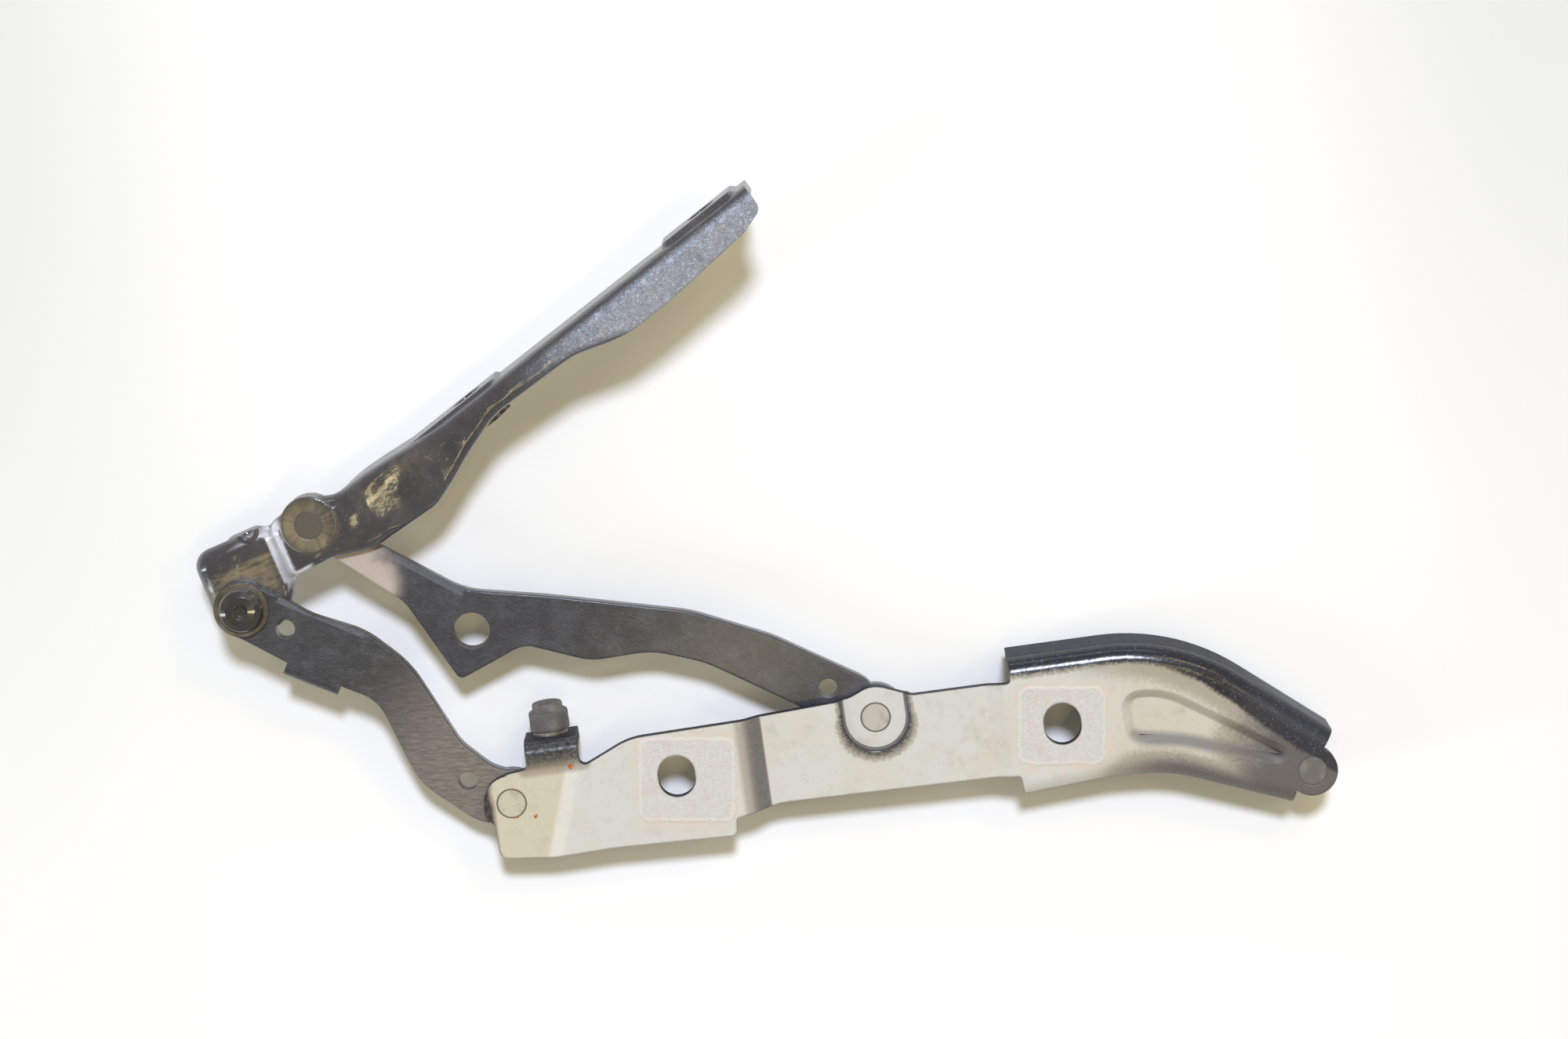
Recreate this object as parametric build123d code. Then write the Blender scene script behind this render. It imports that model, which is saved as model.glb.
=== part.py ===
"""Boot lid hinge: a four-bar hinge of pressed steel, riveted together.

A long body bracket carries two flat links, and the links carry the cranked arm
that bolts to the lid. The plates lie in three layers under the bracket's bolting
face, so that they swing past each other. The origin is midway between the
bracket's two bolt slots, on the bolting face. +X runs along the bolt line to the
strut end, +Y across the bracket towards the lid, +Z out of the bolting face.
"""

import os
from math import cos, hypot, radians, sin, tan

from build123d import *

# Bolt slots in the body bracket, both across the bolt line
BOLT_SPACING = 100.2
SLOT_WIDTH = 9.6
SLOT_LENGTH = 11.0

# Sheets and plates
BRACKET_SHEET = 3.0
ARM_SHEET = 3.0
SHORT_LINK_PLATE = 4.0
LONG_LINK_PLATE = 4.0
EDGE_ROUND = 0.5
LAYER_GAP = 0.7

# Linkage at rest: the short link's foot, then each link's length and angle. The
# line between the arm's two eyes has its own angle from the arm's flange
SHORT_LINK_FOOT = Vector(-93.3, -1.3)
SHORT_LINK_LENGTH = 85.4
SHORT_LINK_ANGLE = 136.1
LONG_LINK_LENGTH = 153.8
LONG_LINK_ANGLE = 153.0
ARM_ANGLE = 30.5
ARM_EYE_SPACING = 28.23
ARM_EYE_ANGLE = 12.94

# The bracket's middle stretch lies below its two bolting pads
MIDDLE_DROP = 2.0
STEP_RUN = 4.0
STEP_ROUND = 3.0
REAR_STEP_X = -29.2
FRONT_STEP_X = 34.0

# Bracket outline
FOOT_LOBE_RADIUS = 7.3
STRUT_LOBE_RADIUS = 6.5
STRUT_STUD_X = 112.4
STRUT_STUD_Y = -21.2
FLANGE_DEPTH = 17.0
FLANGE_START_X = 38.2
FLANGE_FACE_Y = 18.4
FLANGE_BEND = 4.8
LOWER_LIP_DEPTH = 5.0
LOWER_LIP_BEND = 4.2

# Pressed pocket round the long link's foot, and the tapered stiffening bead
POCKET_RADIUS = 8.6
POCKET_WALL_SLOPE = 24.0
BEAD_DEPTH = 2.0
BEAD_WALL_SLOPE = 48.0
PRESSING_WALL = 1.2

# Eyes of the links and the arm
SHORT_FOOT_EYE = 8.2
SHORT_HEAD_EYE = 7.4
LONG_FOOT_EYE = 8.0
LONG_HEAD_EYE = 6.9
ARM_BOSS_RADIUS = 7.4
ARM_BOSS_RISE = 0.4
EYE_PLAY = 3.9

# Tooling holes in the links
SMALL_HOLE = 2.45
LARGE_HOLE = 4.7

# Slope coined along one edge of each link near its head
COIN_WIDTH = 1.7
COIN_DEPTH = 0.9

# Down-turned lug on the short link
LUG_LENGTH = 15.0
LUG_DEPTH = 9.5
LUG_THICKNESS = 3.0
LUG_BEND = 2.4
LUG_ANGLE = 14.0

# Lid arm: the crank between its two levels, and the flange that meets the lid
CRANK_X = -10.7
CRANK_SKEW = 15.6
CRANK_RUN = 3.2
CRANK_ROUND = 4.2
ARM_FLANGE_DEPTH = 19.0
NECK_ROLL = 2.2
ARM_HEAD_DEPTH = 8.0
ARM_BEND = 4.0
DART_PLACE = (-14.5, 8.2)
DART_RADIUS = 1.9
DISH_X = 25.0
DISH_Y = -8.4
DISH_RADIUS = 60.0
DISH_DEPTH = 0.9
PAD_RISE = 1.1
PAD_SLOPE = 45.0
PAD_ROOT = 2.0
PAD_DROP = 0.6
PAD_CORNER = 5.0
PAD_STARTS = (15.0, 112.5)
PAD_LENGTHS = (48.0, 28.0)
LID_BOLTS_X = (50.8, 128.0)
LID_BOLT_RADIUS = 4.3
LID_BOLT_DROP = 12.0
FLANGE_OUTER_Y = -1.2

# Weld nuts inside the arm's flange
NUT_ACROSS_FLATS = 13.0
NUT_HEIGHT = 6.0
NUT_THREAD_RADIUS = 3.4

# Rivets, bushes and washers of the four pivots
SHANK_RADIUS = 3.7
RUNNING_CLEARANCE = 0.05
BUSH_WALL = 1.0
BUSH_FLANGE_RADIUS = 6.6
BUSH_FLANGE = 0.5
TAIL_RADIUS = 5.6
TAIL_HEIGHT = 2.2
DOME_RADIUS = 5.8
DOME_HEIGHT = 2.6
DOME_DIMPLE_RADIUS = 2.0
DOME_DIMPLE_DEPTH = 0.7
WASHER_RADIUS = 7.0
WASHER_THICKNESS = 1.0
FACE_CLEARANCE = 0.15

# Gas strut ball stud on the far side
STUD_COLLAR_RADIUS = 6.0
STUD_COLLAR = 2.5
STUD_NECK_RADIUS = 3.0
STUD_NECK = 4.5
BALL_RADIUS = 5.0

# Bump stop on its bent tab
TAB_CENTRE_X = -81.3
TAB_WIDTH = 13.6
TAB_FACE_Y = 13.8
TAB_DEPTH = 14.0
TAB_BEND = 3.8
BUMP_STEM_RADIUS = 3.2
BUMP_COLLAR_RADIUS = 4.6
BUMP_COLLAR = 1.0
BUMP_RADIUS = 5.1
BUMP_LENGTH = 8.4
BUMP_CROWN_RADIUS = 3.9
BUMP_CROWN = 2.1

# Levels that follow from the layers, all below the bolting face
SHORT_LINK_TOP = -(BRACKET_SHEET + LAYER_GAP)
SHORT_LINK_BASE = SHORT_LINK_TOP - SHORT_LINK_PLATE
ARM_TOP = SHORT_LINK_TOP
ARM_HEAD_TOP = SHORT_LINK_BASE - LAYER_GAP
LONG_LINK_TOP = ARM_TOP - ARM_SHEET - LAYER_GAP
LONG_LINK_BASE = LONG_LINK_TOP - LONG_LINK_PLATE
POCKET_FLOOR = LONG_LINK_TOP + LAYER_GAP + BRACKET_SHEET
DEEP = 60.0
FAR = 200.0
WALL_REACH = 24.0


def polar_point(origin, length, angle):
    """Return the point at a length and an angle in degrees from an origin."""
    return origin + Vector(length * cos(radians(angle)), length * sin(radians(angle)))


SHORT_LINK_HEAD = polar_point(SHORT_LINK_FOOT, SHORT_LINK_LENGTH, SHORT_LINK_ANGLE)
LONG_LINK_HEAD = polar_point(SHORT_LINK_HEAD, ARM_EYE_SPACING, ARM_ANGLE + ARM_EYE_ANGLE)
LONG_LINK_FOOT = polar_point(LONG_LINK_HEAD, -LONG_LINK_LENGTH, LONG_LINK_ANGLE)
STRUT_STUD = Vector(STRUT_STUD_X, STRUT_STUD_Y)


def corner_radii(points, largest, closed):
    """Return each corner's radius: its largest, or what its two runs leave room for."""
    count = len(points)
    corners = range(count) if closed else range(1, count - 1)
    radii = []
    for index, limit in zip(corners, largest):
        before = points[index] - points[index - 1]
        after = points[(index + 1) % count] - points[index]
        turn = radians(before.get_angle(after))
        room = 0.48 * min(before.length, after.length) / tan(turn / 2)
        radii.append(min(limit, room))
    return radii


def outline(*corners):
    """Return the face inside (x, y, largest corner radius) corners."""
    points = [Vector(x, y) for x, y, _ in corners]
    radii = corner_radii(points, [radius for _, _, radius in corners], True)
    return make_face(FilletPolyline(*points, radius=radii, close=True).edges())


def parallel_points(points, distance):
    """Return an open run of points moved to its right-hand side by a distance."""
    normals = []
    for start, end in zip(points, points[1:]):
        step = end - start
        normals.append(Vector(step.Y, -step.X) / step.length)
    moved = [points[0] + normals[0] * distance]
    for point, before, after in zip(points[1:], normals, normals[1:]):
        moved.append(point + (before + after) * (distance / (1 + before.dot(after))))
    moved.append(points[-1] + normals[-1] * distance)
    return moved


def path_line(points, radii):
    """Return the edges of an open run of points with rounded corners."""
    if len(points) == 2:
        return Line(*points).edges()
    return FilletPolyline(*points, radius=radii).edges()


def offset_path(path, distance):
    """Return the plan edges of (x, y, radius) points moved right, bends concentric."""
    points = [Vector(x, y) for x, y, _ in path]
    radii = corner_radii(points, [radius for _, _, radius in path[1:-1]], False)
    moved_radii = []
    for index, radius in enumerate(radii, start=1):
        before = points[index] - points[index - 1]
        after = points[index + 1] - points[index]
        turns_right = before.cross(after).Z < 0
        moved = radius - distance if turns_right else radius + distance
        moved_radii.append(max(moved, 0.0))
    return path_line(parallel_points(points, distance), moved_radii)


def wall_side(path, inward):
    """Return the plan from a path's right-hand parallel to well outside the path."""
    inside = offset_path(path, inward)
    points = [Vector(x, y) for x, y, _ in path]
    beyond = parallel_points(points, -WALL_REACH)
    corners = [inside[0] @ 0, beyond[0], beyond[-1], inside[-1] @ 1]
    return make_face(inside + Polyline(*corners).edges())


def prism(face, top, base):
    """Extrude a plan face between two levels."""
    return extrude(Pos(0, 0, base) * face, top - base)


def rod(radius, top, base, centre=Vector(0, 0)):
    """Return an upright cylinder between two levels."""
    return Pos(centre.X, centre.Y, base) * extrude(Circle(radius), top - base)


def turned(centre, *profile):
    """Revolve (radius, level) points about an upright axis at a centre."""
    face = make_face(Polyline(*[(r, 0, z) for r, z in profile], close=True).edges())
    return Pos(centre.X, centre.Y, 0) * revolve(face, Axis.Z)


def stepped_block(levels, thickness, skew=0.0):
    """Return a block whose top follows (x, level, radius) points, with a parallel base.

    Skew is the angle in degrees by which the steps lean from square across.
    """
    top = [Vector(x, 0, z) for x, z, _ in levels]
    base = [point - Vector(0, 0, thickness) for point in top]
    radii = corner_radii(top, [radius for _, _, radius in levels[1:-1]], False)
    edges = path_line(top, radii) + path_line(base, radii)
    edges += [Edge.make_line(top[0], base[0]), Edge.make_line(top[-1], base[-1])]
    return extrude(make_face(edges), FAR, dir=(tan(radians(skew)), 1, 0), both=True)


def edges_over(part, line, lowest):
    """Return the part's level or sloping edges that lie over a plan line."""
    chosen = []
    for edge in part.edges():
        samples = [edge @ share for share in (0.0, 0.35, 0.65, 1.0)]
        spread = (samples[0] - samples[-1])
        upright = hypot(spread.X, spread.Y) < 0.01
        if upright or min(point.Z for point in samples) < lowest:
            continue
        flat = [Vector(point.X, point.Y, 0) for point in samples]
        if all(min(piece.distance_to(point) for piece in line) < 0.02 for point in flat):
            chosen.append(edge)
    return chosen


# Body bracket

FLANGE_PATH = (
    (FLANGE_START_X, FLANGE_FACE_Y, 0.0),
    (82.5, FLANGE_FACE_Y, 55.0),
    (118.9, -12.0, 0.0),
)
LIP_PATH = (
    (106.4, -29.2, 0.0),
    (76.5, -17.2, 40.0),
    (62.0, -16.2, 24.0),
    (FLANGE_START_X, -17.8, 0.0),
)
TAB_PATH = (
    (TAB_CENTRE_X - TAB_WIDTH / 2, TAB_FACE_Y, 0.0),
    (TAB_CENTRE_X + TAB_WIDTH / 2, TAB_FACE_Y, 0.0),
)


def square_end(path, at_start, reach):
    """Return an outline corner set square from a path's end, into the sheet."""
    points = [Vector(x, y) for x, y, _ in path]
    first, second = (0, 1) if at_start else (-2, -1)
    end = points[first if at_start else second]
    step = points[second] - points[first]
    inward = Vector(step.Y, -step.X) / step.length
    corner = end + inward * reach
    return (corner.X, corner.Y, 1.0)


def bracket_outline():
    """Return the bracket's plan, clockwise from the foot of its short link."""
    tab_left, tab_right = TAB_PATH[0][0], TAB_PATH[1][0]
    foot, pocket = SHORT_LINK_FOOT, LONG_LINK_FOOT
    stud = STRUT_STUD
    return outline(
        (foot.X - 5.0, -15.4, 2.6),
        (foot.X - 5.3, foot.Y, 2.0),
        (foot.X - 1.0, foot.Y + 7.6, 3.0),
        (tab_left, 6.9, 1.5),
        *TAB_PATH,
        (tab_right, 5.4, 1.6),
        (-61.0, 11.4, 18.0),
        (-32.0, 11.9, 30.0),
        (pocket.X - 6.2, pocket.Y + 5.7, 12.0),
        (pocket.X, pocket.Y + POCKET_RADIUS, 8.0),
        (pocket.X + 9.3, pocket.Y + 4.8, 10.0),
        square_end(FLANGE_PATH, True, FLANGE_BEND + 1.4),
        *FLANGE_PATH,
        square_end(FLANGE_PATH, False, FLANGE_BEND + 1.4),
        (stud.X, stud.Y, 1.0),
        square_end(LIP_PATH, True, LOWER_LIP_BEND + 1.4),
        *LIP_PATH,
        square_end(LIP_PATH, False, LOWER_LIP_BEND + 1.4),
        (-24.0, -11.1, 14.0),
        (-36.3, -13.2, 0.8),
        (-36.9, -17.7, 1.4),
        (-68.0, -16.6, 30.0),
        (-84.0, -17.0, 20.0),
    )


def pocket_plan(radius):
    """Return the pocket's plan round the long link's foot, open to the upper edge."""
    foot = LONG_LINK_FOOT
    open_side = Pos(foot.X, foot.Y + DEEP / 2) * Rectangle(2 * radius, DEEP)
    return Pos(foot.X, foot.Y) * Circle(radius) + open_side


def bead_plan(grow):
    """Return the tapered bead's plan at the sheet's face, grown by an amount."""
    return outline(
        (65.6 - grow, 6.3 + grow, 4.6 + grow),
        (77.5, 5.6 + grow, 20.0 + grow),
        (107.0 + grow, -14.4, 2.2 + grow),
        (105.4, -18.6 - grow, 2.2 + grow),
        (79.0, -9.4 - grow, 30.0 - grow),
        (66.2 - grow, -7.6 - grow, 4.6 + grow),
    )


def pressed(plan, level, depth, slope):
    """Return the tapered block of a pressing from its wide face down to its floor."""
    return extrude(Pos(0, 0, level) * plan, depth, dir=(0, 0, -1), taper=slope)


def bent_sheet(plan, levels, thickness, walls, skew=0.0):
    """Return a stepped sheet whose walls are turned down along its edges.

    Each wall is its outer face's path, its depth below the origin's level and the
    outer radius of its bend. A wall's end is square to its path.
    """
    deepest = max(depth for _, depth, _ in walls)
    outer = stepped_block(levels, DEEP, skew) & prism(plan, DEEP, -deepest)
    hollow_plan = Rectangle(2 * FAR, 2 * FAR)
    for path, _, bend in walls:
        outer = fillet(edges_over(outer, offset_path(path, 0), -deepest + 0.1), bend)
        hollow_plan -= wall_side(path, thickness)
    lowered = [(x, level - thickness, radius) for x, level, radius in levels]
    hollow = stepped_block(lowered, DEEP, skew) & prism(hollow_plan, DEEP, -DEEP)
    for path, depth, bend in walls:
        rim = edges_over(hollow, offset_path(path, thickness), -deepest + 0.1)
        hollow = fillet(rim, bend - thickness)
        hollow += prism(wall_side(path, thickness + FACE_CLEARANCE), -depth, -DEEP)
    return outer - hollow


def body_bracket():
    """Return the pressed body bracket."""
    low = -MIDDLE_DROP
    levels = (
        (-FAR, 0.0, 0.0),
        (REAR_STEP_X - STEP_RUN / 2, 0.0, STEP_ROUND),
        (REAR_STEP_X + STEP_RUN / 2, low, STEP_ROUND),
        (FRONT_STEP_X - STEP_RUN / 2, low, STEP_ROUND),
        (FRONT_STEP_X + STEP_RUN / 2, 0.0, STEP_ROUND),
        (FAR, 0.0, 0.0),
    )
    plan = bracket_outline()
    column = prism(plan, DEEP, -DEEP)
    walls = (
        (FLANGE_PATH, FLANGE_DEPTH, FLANGE_BEND),
        (LIP_PATH, LOWER_LIP_DEPTH, LOWER_LIP_BEND),
        (TAB_PATH, TAB_DEPTH, TAB_BEND),
    )
    sheet = bent_sheet(plan, levels, BRACKET_SHEET, walls)
    sheet += rod(FOOT_LOBE_RADIUS, 0, -BRACKET_SHEET, SHORT_LINK_FOOT)
    sheet += rod(STRUT_LOBE_RADIUS, 0, -BRACKET_SHEET, STRUT_STUD)
    pocket_depth = low - POCKET_FLOOR
    under = pocket_plan(POCKET_RADIUS + PRESSING_WALL)
    sheet += pressed(under, low - BRACKET_SHEET, pocket_depth, POCKET_WALL_SLOPE) & column
    sheet -= pressed(pocket_plan(POCKET_RADIUS), low, pocket_depth, POCKET_WALL_SLOPE)
    sheet += pressed(bead_plan(PRESSING_WALL), -BRACKET_SHEET, BEAD_DEPTH, BEAD_WALL_SLOPE)
    sheet -= pressed(bead_plan(0), 0, BEAD_DEPTH, BEAD_WALL_SLOPE)
    for side in (-1, 1):
        slot = SlotOverall(SLOT_LENGTH, SLOT_WIDTH, rotation=90)
        sheet -= prism(Pos(side * BOLT_SPACING / 2, 0) * slot, DEEP, -DEEP)
    for centre in (SHORT_LINK_FOOT, LONG_LINK_FOOT, STRUT_STUD):
        sheet -= rod(SHANK_RADIUS, DEEP, -DEEP, centre)
    bump_level = (LONG_LINK_TOP + LONG_LINK_BASE) / 2
    stem_hole = extrude(Circle(BUMP_STEM_RADIUS), 2 * BRACKET_SHEET, both=True)
    return sheet - Pos(TAB_CENTRE_X, TAB_FACE_Y, bump_level) * Rot(90, 0, 0) * stem_hole


# Links, each built from its foot pivot at the origin towards its head along X


def drilled(plate, *holes):
    """Cut (x, y, radius) holes right through a plate."""
    for x, y, radius in holes:
        plate -= rod(radius, DEEP, -DEEP, Vector(x, y))
    return plate


def coined(plate, start, end, top):
    """Press a slope along a plate's upper edge, which lies left of start to end."""
    run = Vector(*end) - Vector(*start)
    section = Polyline(
        (-COIN_WIDTH, 0.1),
        (COIN_WIDTH, 0.1),
        (COIN_WIDTH, -2 * COIN_DEPTH),
        (-COIN_WIDTH, 0.0),
        close=True,
    )
    outward = Vector(-run.Y, run.X)
    plane = Plane(origin=(*start, top), x_dir=outward, z_dir=run)
    return plate - extrude(plane * make_face(section.edges()), run.length)


def link_plate(plan, top, thickness):
    """Return a link's plate with both rims rounded."""
    plate = prism(plan, top, top - thickness)
    faces = plate.faces().sort_by(Axis.Z)
    return fillet(faces[0].edges() + faces[-1].edges(), EDGE_ROUND)


def placed(part, foot, angle):
    """Put a link or arm built at the origin at its place and angle."""
    return Pos(foot.X, foot.Y) * Rot(0, 0, angle) * part


def short_link():
    """Return the short link: a curved plate with a down-turned lug."""
    head = SHORT_LINK_LENGTH
    waist = (head - 29.0, -14.0)
    shoulder = (head - 5.5, -8.4)
    plan = outline(
        (0.0, -SHORT_FOOT_EYE, 6.0),
        (9.0, -4.2, 12.0),
        (19.5, -4.6, 12.0),
        (42.0, -13.6, 30.0),
        (*waist, 24.0),
        (head - 15.0, -9.3, 24.0),
        (*shoulder, 16.0),
        (head + 1.5, -SHORT_HEAD_EYE + 0.4, 4.0),
        (head + 1.5, SHORT_HEAD_EYE - 0.2, 4.0),
        (head - 18.0, 4.6, 20.0),
        (head - 33.0, 1.4, 6.0),
        (head - 42.0, -1.0, 12.0),
        (22.0, 10.4, 18.0),
        (5.0, 9.9, 10.0),
        (0.0, SHORT_FOOT_EYE, 4.0),
    )
    plan += Circle(SHORT_FOOT_EYE)
    plan += Pos(head, 0) * Circle(SHORT_HEAD_EYE)
    top = SHORT_LINK_TOP
    plate = coined(link_plate(plan, top, SHORT_LINK_PLATE), shoulder, waist, top)
    lug_x, lug_face = head - 25.6, 6.2
    reach = Rectangle(LUG_LENGTH, LUG_THICKNESS + 6.0)
    ledge = prism(Pos(0, -reach.bounding_box().size.Y / 2) * reach, top, top - SHORT_LINK_PLATE)
    side = outline(
        (-LUG_LENGTH / 2, 0.0, 0.0),
        (LUG_LENGTH / 2, 0.0, 0.0),
        (LUG_LENGTH / 2, -LUG_DEPTH, 6.4),
        (-LUG_LENGTH / 2, -LUG_DEPTH, 6.4),
    )
    wall = Pos(0, 0, top) * Rot(90, 0, 0) * extrude(side, LUG_THICKNESS)
    lug = ledge + wall
    bend = lug.edges().filter_by(Axis.X).filter_by(lambda edge: abs(edge.center().Y) < 0.01)
    lug = fillet(bend.sort_by(Axis.Z)[-1], LUG_BEND)
    plate += Pos(lug_x, lug_face) * Rot(0, 0, LUG_ANGLE) * lug
    bush_hole = SHANK_RADIUS + RUNNING_CLEARANCE + BUSH_WALL
    plate = drilled(
        plate,
        (0.0, 0.0, bush_hole),
        (head, 0.0, bush_hole),
        (head - 12.0, -2.4, SMALL_HOLE),
        (12.2, 2.6, SMALL_HOLE),
    )
    return placed(plate, SHORT_LINK_FOOT, SHORT_LINK_ANGLE)


def long_link():
    """Return the long link: a bowed plate with a triangular ear near its head."""
    head = LONG_LINK_LENGTH
    hump = (head - 43.0, 3.8)
    neck = (head - 12.0, -1.2)
    plan = outline(
        (0.0, -LONG_FOOT_EYE + 0.4, 8.0),
        (32.0, -10.8, 40.0),
        (54.0, -10.0, 40.0),
        (head - 63.0, -1.6, 30.0),
        (*hump, 22.0),
        (*neck, 20.0),
        (head, -LONG_HEAD_EYE + 0.3, 6.0),
        (head, LONG_HEAD_EYE, 4.0),
        (head - 8.0, 6.6, 8.0),
        (head - 29.5, 11.9, 10.0),
        (head - 49.4, 26.6, 1.8),
        (head - 62.0, 12.4, 7.0),
        (74.0, 10.8, 16.0),
        (60.0, 3.2, 24.0),
        (46.0, 1.5, 30.0),
        (20.0, 4.4, 30.0),
        (0.0, LONG_FOOT_EYE, 4.0),
    )
    plan += Circle(LONG_FOOT_EYE)
    plan += Pos(head, 0) * Circle(LONG_HEAD_EYE)
    bush_hole = SHANK_RADIUS + RUNNING_CLEARANCE + BUSH_WALL
    plate = drilled(
        coined(link_plate(plan, LONG_LINK_TOP, LONG_LINK_PLATE), neck, hump, LONG_LINK_TOP),
        (0.0, 0.0, bush_hole),
        (head, 0.0, bush_hole),
        (head - 48.1, 13.2, LARGE_HOLE),
        (13.8, -2.5, SMALL_HOLE),
    )
    return placed(plate, LONG_LINK_FOOT, LONG_LINK_ANGLE)


# Lid arm, built from the long link's head pivot along the lid flange

ARM_EYE_OFFSET = (SHORT_LINK_HEAD - LONG_LINK_HEAD).rotate(Axis.Z, -ARM_ANGLE)
ARM_FLANGE_PATH = (
    (ARM_EYE_OFFSET.X - 7.3, ARM_EYE_OFFSET.Y + 5.3, 0.0),
    (ARM_EYE_OFFSET.X - 3.1, ARM_EYE_OFFSET.Y + 18.5, 5.0),
    (-7.5, 6.2, 14.0),
    (2.6, 7.2, 9.0),
    (9.8, 1.6, 9.0),
    (18.5, 1.4, 12.0),
    (40.0, -0.9, 60.0),
    (141.4, -1.3, 0.0),
)
NECK_PATH = (
    (90.0, -11.4, 0.0),
    (80.0, -8.3, 20.0),
    (55.0, -7.6, 20.0),
    (43.0, -11.4, 20.0),
    (36.0, -14.2, 0.0),
)


def arm_outline():
    """Return the arm's plan, clockwise from its head's corner."""
    eye = ARM_EYE_OFFSET
    return outline(
        *ARM_FLANGE_PATH,
        (141.0, -8.4, 2.5),
        (134.0, -10.6, 8.0),
        (108.0, -12.5, 30.0),
        (96.0, -12.4, 8.0),
        *NECK_PATH,
        (29.0, -16.6, 12.0),
        (9.0, -15.2, 14.0),
        (-1.0, -10.4, 12.0),
        (-12.0, -8.4, 8.0),
        (eye.X + 7.5, eye.Y - 9.4, 5.0),
        (eye.X - 5.5, eye.Y - 10.2, 7.0),
        (eye.X - 8.6, eye.Y - 1.0, 6.0),
    )


def flange_relief():
    """Return the side view cut from the flange: shallow at the head, clear of the eye."""
    head_base = ARM_HEAD_TOP - ARM_HEAD_DEPTH
    under = ARM_TOP - ARM_SHEET
    eye_clear = LONG_HEAD_EYE + EYE_PLAY
    return outline(
        (-FAR, head_base, 0.0),
        (-eye_clear - 2.0, head_base, 3.0),
        (-eye_clear - 1.0, ARM_HEAD_TOP - ARM_SHEET - 0.6, 2.0),
        (CRANK_X + CRANK_RUN, under, 2.0),
        (eye_clear + 1.0, under, 3.0),
        (eye_clear + 5.0, ARM_TOP - ARM_FLANGE_DEPTH + 4.0, 5.0),
        (eye_clear + 14.0, ARM_TOP - ARM_FLANGE_DEPTH, 6.0),
        (FAR, ARM_TOP - ARM_FLANGE_DEPTH, 0.0),
        (FAR, -DEEP, 0.0),
        (-FAR, -DEEP, 0.0),
    )


def embossed(start, length, rise, root):
    """Return a pad raised along +Y from its root, its walls sloping to its flat top."""
    top = ARM_TOP - PAD_DROP
    field = RectangleRounded(length, 2 * ARM_FLANGE_DEPTH, PAD_CORNER)
    field = Pos(start + length / 2, top - ARM_FLANGE_DEPTH) * field
    raised = extrude(field, rise, dir=(0, 0, -1), taper=PAD_SLOPE)
    return Pos(0, root, 0) * Rot(90, 0, 0) * raised


def arm_hull(depth):
    """Return the whole space under the arm's head, out to its flange."""
    return prism(arm_outline(), ARM_HEAD_TOP, -depth)


def lid_arm():
    """Return the cranked lid arm with its turned-down flange."""
    levels = (
        (-FAR, ARM_HEAD_TOP, 0.0),
        (CRANK_X - CRANK_RUN / 2, ARM_HEAD_TOP, CRANK_ROUND),
        (CRANK_X + CRANK_RUN / 2, ARM_TOP, CRANK_ROUND),
        (FAR, ARM_TOP, 0.0),
    )
    depth = ARM_FLANGE_DEPTH - ARM_TOP
    walls = ((ARM_FLANGE_PATH, depth, ARM_BEND),)
    arm = bent_sheet(arm_outline(), levels, ARM_SHEET, walls, CRANK_SKEW)
    arm = fillet(edges_over(arm, offset_path(NECK_PATH, 0), ARM_TOP - 0.1), NECK_ROLL)
    relief = Rot(90, 0, 0) * extrude(flange_relief(), FAR, both=True)
    arm -= relief & prism(wall_side(ARM_FLANGE_PATH, ARM_BEND), DEEP, -DEEP)
    dart = Pos(*DART_PLACE, ARM_HEAD_TOP)
    arm += dart * Sphere(DART_RADIUS + PRESSING_WALL) & arm_hull(depth)
    arm -= dart * Sphere(DART_RADIUS)
    boss = rod(ARM_BOSS_RADIUS, ARM_TOP + ARM_BOSS_RISE, ARM_TOP - ARM_SHEET / 2)
    arm += fillet(boss.edges().group_by(Axis.Z)[-1], ARM_BOSS_RISE * 0.9)
    arm -= Pos(DISH_X, DISH_Y, ARM_TOP + DISH_RADIUS - DISH_DEPTH) * Sphere(DISH_RADIUS)
    bolt_level = ARM_TOP - LID_BOLT_DROP
    column = prism(Rectangle(2 * FAR, 2 * FAR), ARM_TOP, ARM_TOP - ARM_FLANGE_DEPTH)
    below_bend = prism(Rectangle(2 * FAR, 2 * FAR), ARM_TOP - ARM_BEND, -DEEP)
    inner_face = FLANGE_OUTER_Y - ARM_SHEET
    for start, length, bolt_x in zip(PAD_STARTS, PAD_LENGTHS, LID_BOLTS_X):
        field = (start, length, PAD_RISE + PAD_ROOT)
        arm += embossed(*field, FLANGE_OUTER_Y - PAD_ROOT) & column
        arm -= embossed(*field, inner_face - PAD_ROOT) & below_bend
        bolt_hole = Rot(90, 0, 0) * extrude(Circle(LID_BOLT_RADIUS), DEEP)
        arm -= Pos(bolt_x, DEEP / 2, bolt_level) * bolt_hole
    eye = ARM_EYE_OFFSET
    arm = drilled(arm, (0.0, 0.0, SHANK_RADIUS), (eye.X, eye.Y, SHANK_RADIUS))
    return placed(arm, LONG_LINK_HEAD, ARM_ANGLE)


def lid_nut(bolt_x):
    """Return a hexagonal weld nut on the inner face of the arm's flange."""
    seat = FLANGE_OUTER_Y + PAD_RISE - ARM_SHEET
    level = ARM_TOP - LID_BOLT_DROP
    hexagon = RegularPolygon(NUT_ACROSS_FLATS / 2, 6, major_radius=False)
    hexagon -= Circle(NUT_THREAD_RADIUS)
    nut = Pos(bolt_x, seat, level) * Rot(90, 0, 0) * extrude(hexagon, NUT_HEIGHT)
    return placed(nut, LONG_LINK_HEAD, ARM_ANGLE)


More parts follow.
